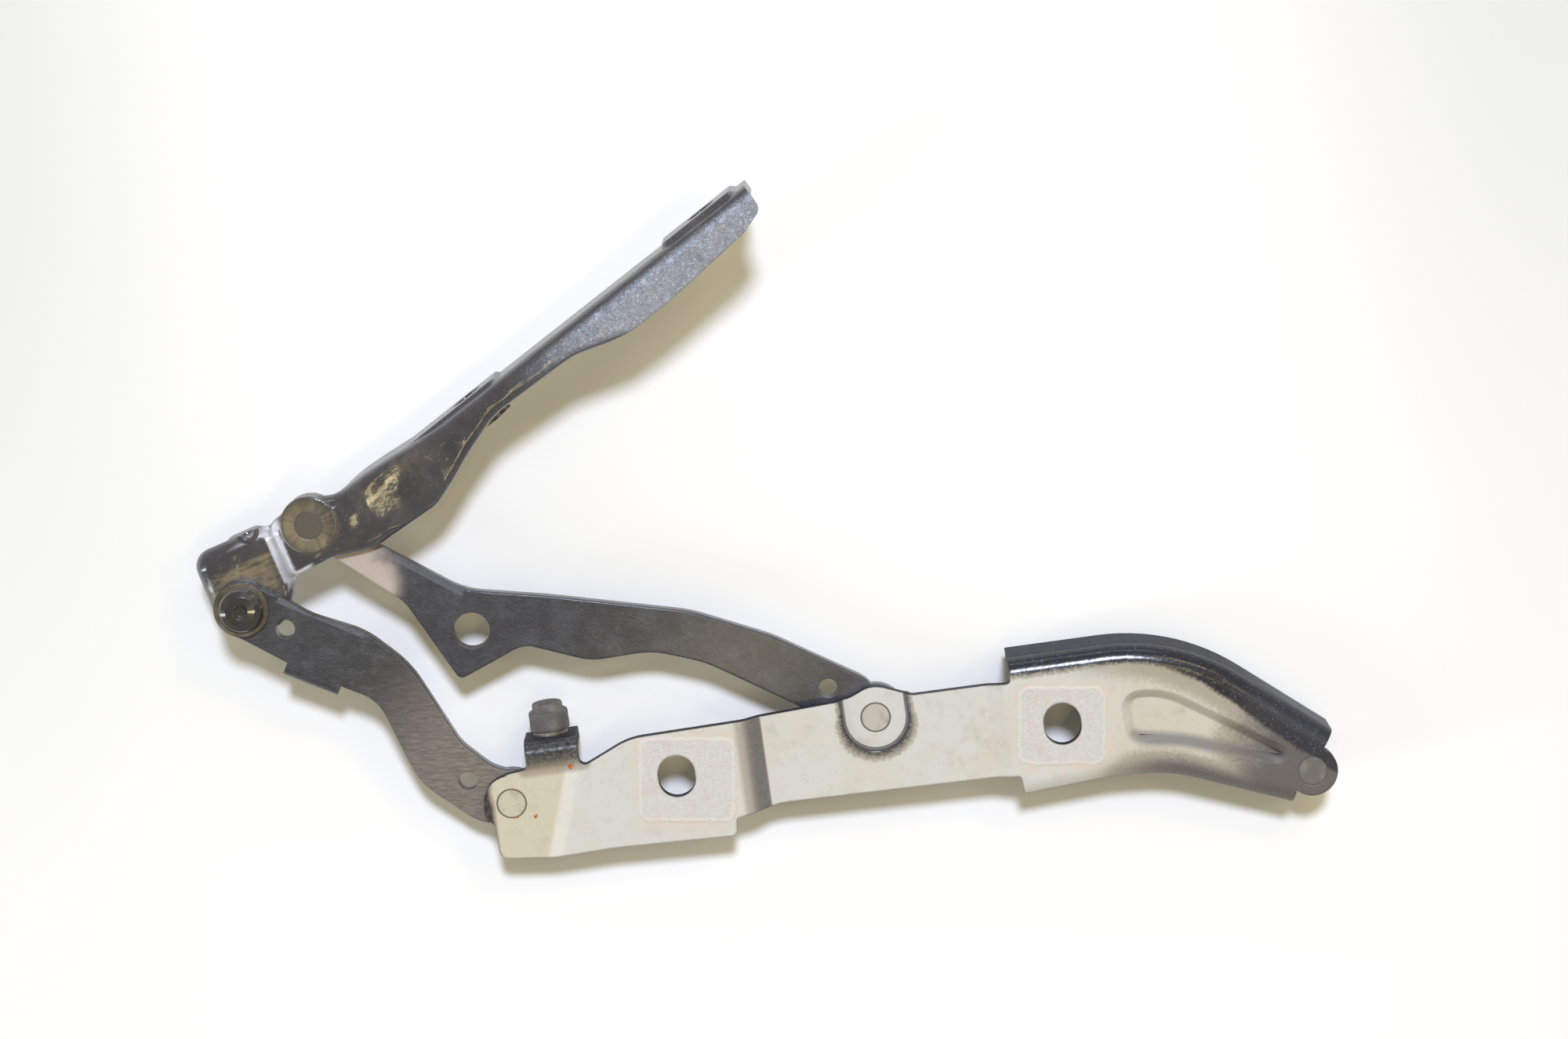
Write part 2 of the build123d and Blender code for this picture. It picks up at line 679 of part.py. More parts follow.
# Pivots


def bush(centre, seat, plate, flange_up):
    """Return a flanged bush in a link's eye, its flange on the plate's face."""
    bore = SHANK_RADIUS + RUNNING_CLEARANCE
    wall = bore + BUSH_WALL
    way = 1 if flange_up else -1
    return turned(
        centre,
        (bore, seat + way * BUSH_FLANGE),
        (BUSH_FLANGE_RADIUS, seat + way * BUSH_FLANGE),
        (BUSH_FLANGE_RADIUS, seat),
        (wall, seat),
        (wall, seat - way * plate),
        (bore, seat - way * plate),
    )


def washer(centre, top):
    """Return a plain washer below a level, round the rivet's shank."""
    ring = Circle(WASHER_RADIUS) - Circle(SHANK_RADIUS)
    return Pos(centre.X, centre.Y, top - WASHER_THICKNESS) * extrude(ring, WASHER_THICKNESS)


def tailed_rivet(centre, top, seat):
    """Return a rivet flush at the top, with a formed tail below its seat."""
    return turned(
        centre,
        (0.0, top),
        (SHANK_RADIUS, top),
        (SHANK_RADIUS, seat),
        (TAIL_RADIUS, seat),
        (TAIL_RADIUS, seat - TAIL_HEIGHT / 2),
        (TAIL_RADIUS - TAIL_HEIGHT / 2, seat - TAIL_HEIGHT),
        (0.0, seat - TAIL_HEIGHT),
    )


def domed_rivet(centre, seat, base):
    """Return the rivet with a dimpled dome above its seat and a tail below the arm."""
    dimple = seat + DOME_HEIGHT - DOME_DIMPLE_DEPTH
    rivet = turned(
        centre,
        (0.0, dimple),
        (DOME_DIMPLE_RADIUS * 0.6, dimple),
        (DOME_DIMPLE_RADIUS, seat + DOME_HEIGHT),
        (DOME_RADIUS * 0.66, seat + DOME_HEIGHT * 0.92),
        (DOME_RADIUS * 0.9, seat + DOME_HEIGHT * 0.62),
        (DOME_RADIUS, seat + DOME_HEIGHT * 0.25),
        (DOME_RADIUS, seat),
        (SHANK_RADIUS, seat),
        (SHANK_RADIUS, base),
        (TAIL_RADIUS, base),
        (TAIL_RADIUS, base - TAIL_HEIGHT / 2),
        (TAIL_RADIUS - TAIL_HEIGHT / 2, base - TAIL_HEIGHT),
        (0.0, base - TAIL_HEIGHT),
    )
    return rivet


def strut_ball_stud():
    """Return the ball stud, riveted through the bracket's strut end."""
    collar = -BRACKET_SHEET - STUD_COLLAR
    neck = collar - STUD_NECK
    centre_level = neck - sqrt_of_difference(BALL_RADIUS, STUD_NECK_RADIUS)
    shank = turned(
        STRUT_STUD,
        (0.0, 0.0),
        (SHANK_RADIUS, 0.0),
        (SHANK_RADIUS, -BRACKET_SHEET),
        (STUD_COLLAR_RADIUS, -BRACKET_SHEET),
        (STUD_COLLAR_RADIUS, collar),
        (STUD_NECK_RADIUS, collar),
        (STUD_NECK_RADIUS, centre_level),
        (0.0, centre_level),
    )
    return shank + Pos(STRUT_STUD.X, STRUT_STUD.Y, centre_level) * Sphere(BALL_RADIUS)


def sqrt_of_difference(long_side, short_side):
    """Return a right triangle's other side."""
    return (long_side**2 - short_side**2) ** 0.5


def bump_stop_parts():
    """Return the bump stop's stem and its rubber, along +Y from the bracket's tab."""
    level = (LONG_LINK_TOP + LONG_LINK_BASE) / 2
    place = Pos(TAB_CENTRE_X, TAB_FACE_Y, level) * Rot(-90, 0, 0)
    stem = turned(
        Vector(0, 0),
        (0.0, BUMP_LENGTH - 2.0),
        (BUMP_STEM_RADIUS - 0.6, BUMP_LENGTH - 2.0),
        (BUMP_STEM_RADIUS - 0.6, BUMP_COLLAR),
        (BUMP_COLLAR_RADIUS, BUMP_COLLAR),
        (BUMP_COLLAR_RADIUS, 0.0),
        (BUMP_STEM_RADIUS, 0.0),
        (BUMP_STEM_RADIUS, -BRACKET_SHEET - 1.5),
        (0.0, -BRACKET_SHEET - 1.5),
    )
    crown_base = BUMP_LENGTH - BUMP_CROWN
    rubber = turned(
        Vector(0, 0),
        (0.0, BUMP_LENGTH - 2.0),
        (BUMP_STEM_RADIUS - 0.6, BUMP_LENGTH - 2.0),
        (BUMP_STEM_RADIUS - 0.6, BUMP_COLLAR),
        (BUMP_RADIUS - 0.4, BUMP_COLLAR),
        (BUMP_RADIUS, BUMP_COLLAR + 0.5),
        (BUMP_RADIUS, crown_base - 0.5),
        (BUMP_RADIUS - 0.5, crown_base),
        (BUMP_CROWN_RADIUS, crown_base),
        (BUMP_CROWN_RADIUS - 0.5, BUMP_LENGTH),
        (0.0, BUMP_LENGTH),
    )
    return place * stem, place * rubber


def pivot_parts():
    """Return every rivet, bush and washer of the four pivots, by name."""
    short_foot, short_head = SHORT_LINK_FOOT, SHORT_LINK_HEAD
    long_foot, long_head = LONG_LINK_FOOT, LONG_LINK_HEAD
    short_washer = SHORT_LINK_BASE - FACE_CLEARANCE
    long_washer = LONG_LINK_BASE - FACE_CLEARANCE
    dome_washer = SHORT_LINK_TOP + FACE_CLEARANCE + WASHER_THICKNESS
    pin_top = LONG_LINK_TOP + BUSH_FLANGE
    return {
        "short_link_foot_rivet": tailed_rivet(short_foot, 0.0, short_washer - WASHER_THICKNESS),
        "short_link_foot_washer": washer(short_foot, short_washer),
        "short_link_foot_bush": bush(short_foot, SHORT_LINK_TOP, SHORT_LINK_PLATE, True),
        "short_link_head_rivet": domed_rivet(short_head, dome_washer, ARM_HEAD_TOP - ARM_SHEET),
        "short_link_head_washer": washer(short_head, dome_washer),
        "short_link_head_bush": bush(short_head, SHORT_LINK_BASE, SHORT_LINK_PLATE, False),
        "long_link_foot_rivet": tailed_rivet(long_foot, POCKET_FLOOR, long_washer - WASHER_THICKNESS),
        "long_link_foot_washer": washer(long_foot, long_washer),
        "long_link_foot_bush": bush(long_foot, LONG_LINK_TOP, LONG_LINK_PLATE, True),
        "long_link_head_rivet": rod(SHANK_RADIUS, ARM_TOP + ARM_BOSS_RISE, ARM_TOP - ARM_SHEET, long_head),
        "long_link_head_pin": tailed_rivet(long_head, pin_top, long_washer - WASHER_THICKNESS),
        "long_link_head_washer": washer(long_head, long_washer),
        "long_link_head_bush": bush(long_head, LONG_LINK_TOP, LONG_LINK_PLATE, True),
    }


def hinge_parts():
    """Return every piece of the hinge by node name."""
    bump_stem, bump_rubber = bump_stop_parts()
    return {
        "body_bracket": body_bracket(),
        "short_link": short_link(),
        "long_link": long_link(),
        "lid_arm": lid_arm(),
        "lid_nut_inner": lid_nut(LID_BOLTS_X[0]),
        "lid_nut_outer": lid_nut(LID_BOLTS_X[1]),
        **pivot_parts(),
        "strut_ball_stud": strut_ball_stud(),
        "bump_stop_stem": bump_stem,
        "bump_stop_rubber": bump_rubber,
    }


os.makedirs("parts", exist_ok=True)
for node, part in hinge_parts().items():
    part.label = node
    export_step(part, f"parts/{node}.step")
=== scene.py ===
"""Looks for a boot lid hinge of pressed steel sheets on riveted pivots.

Everything is in metres in the CAD's frame. The origin is midway between the body
bracket's two bolt slots, on its bolting face. +X runs along the bolt line to the
strut end, +Y across the bracket towards the lid arm and +Z out of the bolting face.
Patterns are written in millimetres of the same frame, or of the arm's own frame.
"""

import logging
import math
from abc import ABC, abstractmethod
from dataclasses import dataclass
from enum import Enum

import bmesh
import bpy
from mathutils import Matrix, Vector

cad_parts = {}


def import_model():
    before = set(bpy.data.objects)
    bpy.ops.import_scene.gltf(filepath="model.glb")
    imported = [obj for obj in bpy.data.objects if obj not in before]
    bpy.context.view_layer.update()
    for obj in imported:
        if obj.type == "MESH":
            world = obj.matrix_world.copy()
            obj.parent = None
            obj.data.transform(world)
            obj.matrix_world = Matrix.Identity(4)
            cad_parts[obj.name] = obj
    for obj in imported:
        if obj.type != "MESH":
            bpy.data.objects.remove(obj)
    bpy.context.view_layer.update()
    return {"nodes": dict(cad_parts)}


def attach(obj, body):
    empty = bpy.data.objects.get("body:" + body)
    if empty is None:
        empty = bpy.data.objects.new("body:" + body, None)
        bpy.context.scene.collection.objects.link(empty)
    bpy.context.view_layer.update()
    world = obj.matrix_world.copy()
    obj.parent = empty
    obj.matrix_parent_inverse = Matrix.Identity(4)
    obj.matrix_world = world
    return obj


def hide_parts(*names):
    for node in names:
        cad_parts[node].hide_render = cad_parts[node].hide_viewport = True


log = logging.getLogger("boot_lid_hinge")

MM = 0.001
RGB = tuple[float, float, float]
Point = tuple[float, float]
Socket = bpy.types.NodeSocket


class Place(Enum):
    """Plan places of the hinge's pivots and faces, in millimetres."""

    SHORT_FOOT = (-93.3, -1.3)
    LONG_FOOT = (2.7, 7.5)
    SHORT_HEAD = (-154.8, 57.9)
    LONG_HEAD = (-134.3, 77.3)
    STRUT = (112.4, -21.2)
    REAR_PAD = (-47.6, -1.3)
    FRONT_PAD = (49.9, -0.5)


class Math(Enum):
    """The arithmetic that the finishes use."""

    ADD = "ADD"
    SUBTRACT = "SUBTRACT"
    MULTIPLY = "MULTIPLY"
    DIVIDE = "DIVIDE"
    MAXIMUM = "MAXIMUM"
    MINIMUM = "MINIMUM"
    ABSOLUTE = "ABSOLUTE"
    ROOT = "SQRT"
    SOFT_MINIMUM = "SMOOTH_MIN"


def srgb(red: int, green: int, blue: int) -> RGB:
    """Turn a screen colour of 0 to 255 into a linear one.

    Args:
        red: Red level.
        green: Green level.
        blue: Blue level.

    Returns:
        The linear colour.
    """

    def linear(level: int) -> float:
        share = level / 255
        return share / 12.92 if share <= 0.04045 else ((share + 0.055) / 1.055) ** 2.4

    return linear(red), linear(green), linear(blue)


class Level:
    """A number in a node tree, which takes arithmetic with levels and with plain numbers."""

    def __init__(self, graph: "Graph", socket: Socket) -> None:
        """Hold a socket and the graph that it belongs to."""
        self.graph = graph
        self.socket = socket

    def __add__(self, other: "Value") -> "Level":
        """Return the sum."""
        return self.graph.calc(Math.ADD, self, other)

    def __radd__(self, other: "Value") -> "Level":
        """Return the sum where the plain number comes first."""
        return self.graph.calc(Math.ADD, other, self)

    def __sub__(self, other: "Value") -> "Level":
        """Return the difference."""
        return self.graph.calc(Math.SUBTRACT, self, other)

    def __rsub__(self, other: "Value") -> "Level":
        """Return the difference where the plain number comes first."""
        return self.graph.calc(Math.SUBTRACT, other, self)

    def __mul__(self, other: "Value") -> "Level":
        """Return the product."""
        return self.graph.calc(Math.MULTIPLY, self, other)

    def __rmul__(self, other: "Value") -> "Level":
        """Return the product where the plain number comes first."""
        return self.graph.calc(Math.MULTIPLY, other, self)


Value = Level | float


class Graph:
    """A material's node tree, with each step made and wired in one call."""

    def __init__(self, name: str) -> None:
        """Start an empty material.

        Args:
            name: The material's name.
        """
        self.material = bpy.data.materials.new(name)
        self.material.use_nodes = True
        self.tree = self.material.node_tree
        self.tree.nodes.clear()
        coordinates = self.node("ShaderNodeTexCoord")
        inputs = {0: coordinates.outputs["Object"], "Scale": 1 / MM}
        scaled = self.node("ShaderNodeVectorMath", inputs, operation="SCALE")
        self.point = scaled.outputs["Vector"]
        parts = self.node("ShaderNodeSeparateXYZ", {0: self.point})
        self.x, self.y, self.z = (Level(self, part) for part in parts.outputs)
        facing = self.node("ShaderNodeSeparateXYZ", {0: coordinates.outputs["Normal"]})
        self.facing_z = Level(self, facing.outputs[2])

    def feed(self, socket: Socket, value: Value | Socket | RGB) -> None:
        """Link a socket to another, or set its own value."""
        if isinstance(value, Level):
            value = value.socket
        if isinstance(value, bpy.types.NodeSocket):
            self.tree.links.new(value, socket)
        elif isinstance(value, tuple) and socket.type == "RGBA":
            socket.default_value = (*value, 1.0)
        else:
            socket.default_value = value

    def node(self, kind: str, inputs: dict | None = None, **settings: object) -> bpy.types.Node:
        """Make a node.

        Args:
            kind: Blender's name of the node type.
            inputs: What to feed to its inputs, by name or number.
            settings: Values of the node's own settings.

        Returns:
            The node.
        """
        made = self.tree.nodes.new(kind)
        for key, value in settings.items():
            setattr(made, key, value)
        for key, value in (inputs or {}).items():
            self.feed(made.inputs[key], value)
        return made

    def calc(self, operation: Math, first: Value, second: Value = 0.0, third: float = 0.0) -> Level:
        """Return the result of one piece of arithmetic."""
        made = self.node("ShaderNodeMath", {0: first, 1: second, 2: third}, operation=operation.value)
        return Level(self, made.outputs[0])

    def size(self, value: Value) -> Level:
        """Return a value without its sign."""
        return self.calc(Math.ABSOLUTE, value)

    def length(self, across: Value, along: Value) -> Level:
        """Return the length of a step across and along."""
        return self.calc(Math.ROOT, across * across + along * along)

    def most(self, *values: Value) -> Value:
        """Return the largest of some values."""
        largest = values[0]
        for value in values[1:]:
            largest = self.calc(Math.MAXIMUM, largest, value)
        return largest

    def least(self, *values: Value) -> Value:
        """Return the smallest of some values."""
        smallest = values[0]
        for value in values[1:]:
            smallest = self.calc(Math.MINIMUM, smallest, value)
        return smallest

    def ramp(self, value: Value, start: Value, end: Value) -> Level:
        """Return a smooth step from 0 at start to 1 at end, which may be the lower."""
        inputs = {"Value": value, "From Min": start, "From Max": end}
        made = self.node("ShaderNodeMapRange", inputs, interpolation_type="SMOOTHSTEP")
        return Level(self, made.outputs["Result"])

    def band(self, value: Value, start: float, end: float, soft: float) -> Level:
        """Return 1 between two levels, falling to 0 over a soft edge on each side."""
        rise = self.ramp(value, start - soft, start + soft)
        fall = self.ramp(value, end + soft, end - soft)
        return rise * fall

    def noise(self, size: float, detail: float = 3.0, rough: float = 0.55, warp: float = 0.0) -> Level:
        """Return noise whose lumps are about a size in millimetres."""
        inputs = {"Scale": 1 / size, "Detail": detail, "Roughness": rough, "Distortion": warp}
        made = self.node("ShaderNodeTexNoise", {"Vector": self.point} | inputs)
        return Level(self, made.outputs["Fac"])

    def wobble(self, size: float, detail: float, rough: float = 0.55) -> Level:
        """Return noise that runs about zero instead of 0.5."""
        return self.noise(size, detail, rough) - 0.5

    def streaks(self, angle: float, length: float, width: float, detail: float = 4.0) -> Level:
        """Return noise drawn out along a plan angle in degrees."""
        inputs = {"Rotation": (0, 0, math.radians(angle)), "Scale": (length, width, width)}
        turned = self.node("ShaderNodeMapping", {"Vector": self.point} | inputs, vector_type="TEXTURE")
        inputs = {"Vector": turned.outputs[0], "Scale": 1.0, "Detail": detail}
        made = self.node("ShaderNodeTexNoise", inputs)
        return Level(self, made.outputs["Fac"])

    def flakes(self, size: float) -> Level:
        """Return a random level for each cell of about a size in millimetres."""
        made = self.node("ShaderNodeTexVoronoi", {"Vector": self.point, "Scale": 1 / size})
        parts = self.node("ShaderNodeSeparateColor", {0: made.outputs["Color"]})
        return Level(self, parts.outputs[0])

    def distance(self, centre: Point, y: Value | None = None) -> Level:
        """Return the plan distance in millimetres from a centre."""
        across = self.x - centre[0]
        along = (self.y if y is None else y) - centre[1]
        return self.length(across, along)

    def turned_plan(self, centre: Point, angle: float) -> tuple[Level, Level]:
        """Return plan coordinates about a centre, turned by an angle in degrees."""
        across = self.x - centre[0]
        along = self.y - centre[1]
        cosine, sine = math.cos(math.radians(angle)), math.sin(math.radians(angle))
        turned_x = across * cosine + along * sine
        turned_y = along * cosine - across * sine
        return turned_x, turned_y

    def mix(self, share: Value, first: Value | RGB, second: Value | RGB, colour: bool = True) -> Level:
        """Return a mix of two colours, or of two values where colour is false."""
        start, end, out = (6, 7, 2) if colour else (2, 3, 0)
        inputs = {0: share, start: first, end: second}
        made = self.node("ShaderNodeMix", inputs, data_type="RGBA" if colour else "FLOAT")
        return Level(self, made.outputs[out])

    def dab(
        self, under: Value | RGB, over: Value | RGB, level: Value, start: float, end: float, most: float
    ) -> Level:
        """Return a colour covered by another, up to a share, as a level goes from start to end."""
        return self.mix(self.ramp(level, start, end) * most, under, over)

    def curve(self, value: Level, low: float, high: float, points: list[Point]) -> Level:
        """Return a drawn curve of a value; both run from low to high."""
        span = high - low
        share = self.calc(Math.DIVIDE, value - low, span)
        made = self.node("ShaderNodeFloatCurve", {"Value": share})
        drawn = made.mapping.curves[0].points
        places = [((x - low) / span, (y - low) / span) for x, y in points]
        drawn[0].location, drawn[1].location = places[0], places[-1]
        for place in places[1:-1]:
            drawn.new(*place)
        made.mapping.update()
        return Level(self, made.outputs[0]) * span + low

    def edge(self, radius: float) -> tuple[Level, Socket]:
        """Return how near a sharp edge is, and a normal that is rounded there."""
        bevel = self.node("ShaderNodeBevel", {"Radius": radius * MM}, samples=6)
        geometry = self.node("ShaderNodeNewGeometry")
        inputs = {0: bevel.outputs[0], 1: geometry.outputs["Normal"]}
        dot = self.node("ShaderNodeVectorMath", inputs, operation="DOT_PRODUCT")
        return self.ramp(dot.outputs["Value"], 0.98, 0.8), bevel.outputs[0]

    def bump(self, height: Value, depth: float, normal: Socket | None = None) -> Socket:
        """Return a normal raised by a height of 0 to 1, a depth in millimetres."""
        made = self.node("ShaderNodeBump", {"Height": height, "Distance": depth * MM})
        if normal is not None:
            self.feed(made.inputs["Normal"], normal)
        return made.outputs[0]

    def surface(self, **sockets: Value | Socket | RGB) -> bpy.types.Material:
        """Finish the material with a principled surface.

        Args:
            sockets: Inputs by name, with _ for each space.

        Returns:
            The material.
        """
        shader = self.node("ShaderNodeBsdfPrincipled")
        for name, value in sockets.items():
            self.feed(shader.inputs[name.replace("_", " ")], value)
        output = self.node("ShaderNodeOutputMaterial")
        self.tree.links.new(shader.outputs[0], output.inputs["Surface"])
        return self.material


class Finish(ABC):
    """One finish of the hinge."""

    @abstractmethod
    def build(self) -> bpy.types.Material:
        """Make the finish's material."""


@dataclass(frozen=True)
class BracketPaint(Finish):
    """Pale primer on the face that met the body, with black sprayed in from its edges."""

    cream: RGB = srgb(207, 200, 178)
    grey: RGB = srgb(212, 212, 207)
    pale: RGB = srgb(225, 223, 216)
    bare: RGB = srgb(228, 226, 224)
    pit: RGB = srgb(172, 166, 162)
    tan: RGB = srgb(220, 204, 190)
    mist: RGB = srgb(140, 126, 110)
    # Grey of the painted shade on the bead's walls.
    shade: RGB = srgb(122, 120, 121)
    soot: RGB = srgb(98, 95, 94)
    fleck: RGB = srgb(120, 128, 158)
    black: RGB = srgb(42, 43, 52)
    seam: RGB = srgb(70, 62, 52)
    rust: RGB = srgb(176, 92, 48)
    rear_pad_half: Point = (11.8, 10.4)
    front_pad_half: Point = (10.6, 9.6)
    pad_corner: float = 2.5
    pad_angle: float = -7.9
    flange_start: float = 36.0
    flange_corner: Point = (82.5, 18.4)
    flange_turn: float = -39.87
    flange_blend: float = 18.0
    pocket_radius: float = 7.9
    rivet_radius: float = 3.75
    step_rise: Point = (-35.5, -29.0)
    step_fall: Point = (-26.6, -27.2)
    tab_span: Point = (-90.0, -72.0)
    tab_rise: Point = (3.5, 9.5)
    left_end: Point = (-97.2, -99.6)
    stripe_left_edge: Point = (-81.0, -79.4)
    stripe_right_edge: Point = (-77.5, -75.5)
    lower_edge: tuple[Point, ...] = (
        (-120, -60),
        (50, -24),
        (62, -17.5),
        (76, -18),
        (92, -24),
        (107, -30),
        (130, -38),
    )
    rust_places: tuple[tuple[float, float, float], ...] = (
        (-76.9, 6.4, 1.0),
        (-92.5, -4.9, 0.7),
        (-87.6, -5.4, 0.6),
        (-92.6, 2.2, 0.5),
    )

    def pads(self, graph: Graph) -> tuple[Value, Value, Value]:
        """Return the rubbed squares, the ridge round them and the stain outside."""
        inside: Value = 0.0
        ridge: Value = 0.0
        stain: Value = 0.0
        wander = graph.wobble(2.4, 4.0, 0.75) * 2.6
        pads = ((Place.REAR_PAD, self.rear_pad_half), (Place.FRONT_PAD, self.front_pad_half))
        for place, half in pads:
            across, along = graph.turned_plan(place.value, self.pad_angle)
            out_x = graph.size(across) - (half[0] - self.pad_corner)
            out_y = graph.size(along) - (half[1] - self.pad_corner)
            corner = graph.length(graph.most(out_x, 0.0), graph.most(out_y, 0.0))
            beyond = graph.least(graph.most(out_x, out_y), 0.0) + corner
            beyond = beyond - self.pad_corner + wander
            inside = graph.most(inside, graph.ramp(beyond, 0.5, -0.6))
            ridge = graph.most(ridge, graph.band(beyond, -0.1, 0.7, 0.4))
            stain = graph.most(stain, graph.ramp(beyond, 4.5, 0.4))
        return inside, ridge, stain * (1.0 - inside)

    def flange_depth(self, graph: Graph) -> Level:
        """Return how far inside the flange's line each point is, round its bend."""
        straight = self.flange_corner[1] - graph.y
        _, past = graph.turned_plan(self.flange_corner, self.flange_turn)
        return graph.calc(Math.SOFT_MINIMUM, straight, 0.0 - past, self.flange_blend)

    def black_spray(self, graph: Graph) -> Value:
        """Return how black each point is: walls, bends, step, pocket, tab and left edge."""
        grain = graph.wobble(0.9, 4.0, 0.75)
        drift = graph.wobble(7.0, 3.0)
        walls = graph.ramp(graph.facing_z, 0.6, 0.3)
        reach = 4.6 + graph.ramp(graph.x, 66.0, 112.0) * 4.0
        rough_edge = grain * 2.4 + drift * 1.5
        shaken = self.flange_depth(graph) + rough_edge
        bend = graph.ramp(shaken, reach + 1.2, reach - 1.4)
        haze = graph.ramp(shaken + grain * 3.0, reach + 7.0, reach)
        haze = haze * 0.3 * graph.ramp(graph.x, 40.0, 80.0)
        on_flange = graph.ramp(graph.x, self.flange_start, self.flange_start + 2.5)
        bend = graph.most(bend, haze) * on_flange
        tab = graph.band(graph.x, *self.tab_span, 1.5) * graph.ramp(graph.y, *self.tab_rise)
        tab = tab * (0.85 + grain * 0.5)
        step = graph.ramp(graph.x, *self.step_rise) * graph.ramp(graph.x, *self.step_fall)
        step = step * 0.66 * (1.0 + grain * 0.5)
        left = graph.ramp(graph.x + drift * 2.0, *self.left_end)
        return graph.most(walls, bend, self.pocket_ring(graph, grain), step, tab, left)

    def pocket_ring(self, graph: Graph, grain: Level) -> Level:
        """Return the spray round the pocket's rim, wider below it."""
        foot = Place.LONG_FOOT.value
        above = graph.most(graph.y - foot[1], 0.0)
        ring = graph.distance(foot, y=graph.y - above)
        low = graph.ramp(graph.y, foot[1] + 6.0, foot[1] - 8.0)
        far = 10.4 + low * 1.8
        fade = graph.ramp(ring + grain * 3.0, far, self.pocket_radius + 0.3)
        rise = graph.ramp(ring, self.pocket_radius, self.pocket_radius + 0.6)
        return rise * (fade * 0.95)

    def dusty_end(self, graph: Graph) -> Value:
        """Return how much the strut end and its lip are greyed over by black dust."""
        grain = graph.wobble(0.8, 5.0, 0.8)
        drift = graph.wobble(9.0, 3.0)
        first, last = self.lower_edge[0][0], self.lower_edge[-1][0]
        lower = graph.curve(graph.x, first, last, list(self.lower_edge))
        above_lip = graph.y - lower + grain * 5.0
        lip = graph.ramp(above_lip, 9.0, 2.5) * graph.ramp(graph.x, 52.0, 80.0)
        slant = graph.x + graph.y * -0.35
        slant = slant + (grain * 16.0 + drift * 14.0)
        return graph.most(lip * 0.85, graph.ramp(slant, 88.0, 112.0))

    def bead_painted_shade(self, graph: Graph) -> Value:
        """Return the painted shade on the bead's walls, set by which way they face: the lower one well,
        the upper one faintly.
        """
        _, rounded = graph.edge(2.6)
        facing = graph.node("ShaderNodeSeparateXYZ", {0: rounded})
        along = graph.band(graph.x, 66.0, 108.0, 5.0)
        near_bead = along * graph.band(graph.y, -25.0, 12.0, 1.5)
        lower = graph.ramp(facing.outputs[1], 0.03, 0.34)
        upper = graph.ramp(facing.outputs[1], -0.25, -0.5) * 0.3
        return near_bead * (lower + upper)

    def rust_spots(self, graph: Graph) -> Value:
        """Return the few rust spots near the short link's foot."""
        ragged = graph.wobble(0.7, 3.0) * 2.2
        spots: Value = 0.0
        for x, y, radius in self.rust_places:
            near = graph.distance((x, y)) + ragged
            spots = graph.most(spots, graph.ramp(near, radius, radius * 0.4))
        return spots

    def rivet_seams(self, graph: Graph) -> Level:
        """Return the thin lines round the two rivets that are painted over."""
        short = graph.distance(Place.SHORT_FOOT.value) - self.rivet_radius
        long = graph.distance(Place.LONG_FOOT.value) - self.rivet_radius
        return graph.ramp(graph.least(graph.size(short), graph.size(long)), 0.32, 0.08)

    def primer(
        self, graph: Graph, patch: Level, speck: Level, scratch: Level
    ) -> tuple[Value, Value, Value]:
        """Return the primer's colour, and where it is rubbed bare and ridged.

        Args:
            graph: The material's tree.
            patch: Noise of a few millimetres.
            speck: Fine noise.
            scratch: Twisted fine noise.

        Returns:
            The colour, the rubbed squares and their ridges.
        """
        inside, ridge, stain = self.pads(graph)
        cloud = graph.noise(22.0, 3.0)
        # A paler stripe slants across the bracket near the short link's foot, with cream to its left
        # and grey to its right.
        slant = graph.x - graph.y * 0.335
        colour = graph.mix(graph.ramp(slant, *self.stripe_left_edge), self.cream, self.pale)
        colour = graph.mix(graph.ramp(slant, *self.stripe_right_edge), colour, self.grey)
        colour = graph.dab(colour, self.cream, cloud, 0.45, 0.75, 0.5)
        warm_end = graph.band(graph.x, 64.0, 104.0, 6.0) * 0.55
        colour = graph.mix(warm_end, colour, self.cream)
        colour = graph.dab(colour, self.mist, patch, 0.5, 0.75, 0.2)
        colour = graph.dab(colour, self.mist, speck, 0.56, 0.78, 0.4)
        colour = graph.dab(colour, self.pale, speck, 0.42, 0.25, 0.4)
        colour = graph.mix(stain * graph.ramp(patch, 0.35, 0.65), colour, self.tan)
        colour = graph.mix(ridge * 0.7, colour, self.pale)
        worn = graph.dab(self.bare, self.pit, scratch, 0.48, 0.7, 0.8)
        worn = graph.dab(worn, self.tan, patch, 0.5, 0.7, 0.5)
        colour = graph.mix(inside, colour, worn)
        # Painted shade darkens the bead's walls.
        colour = graph.mix(self.bead_painted_shade(graph) * 0.9, colour, self.shade)
        return colour, inside, ridge

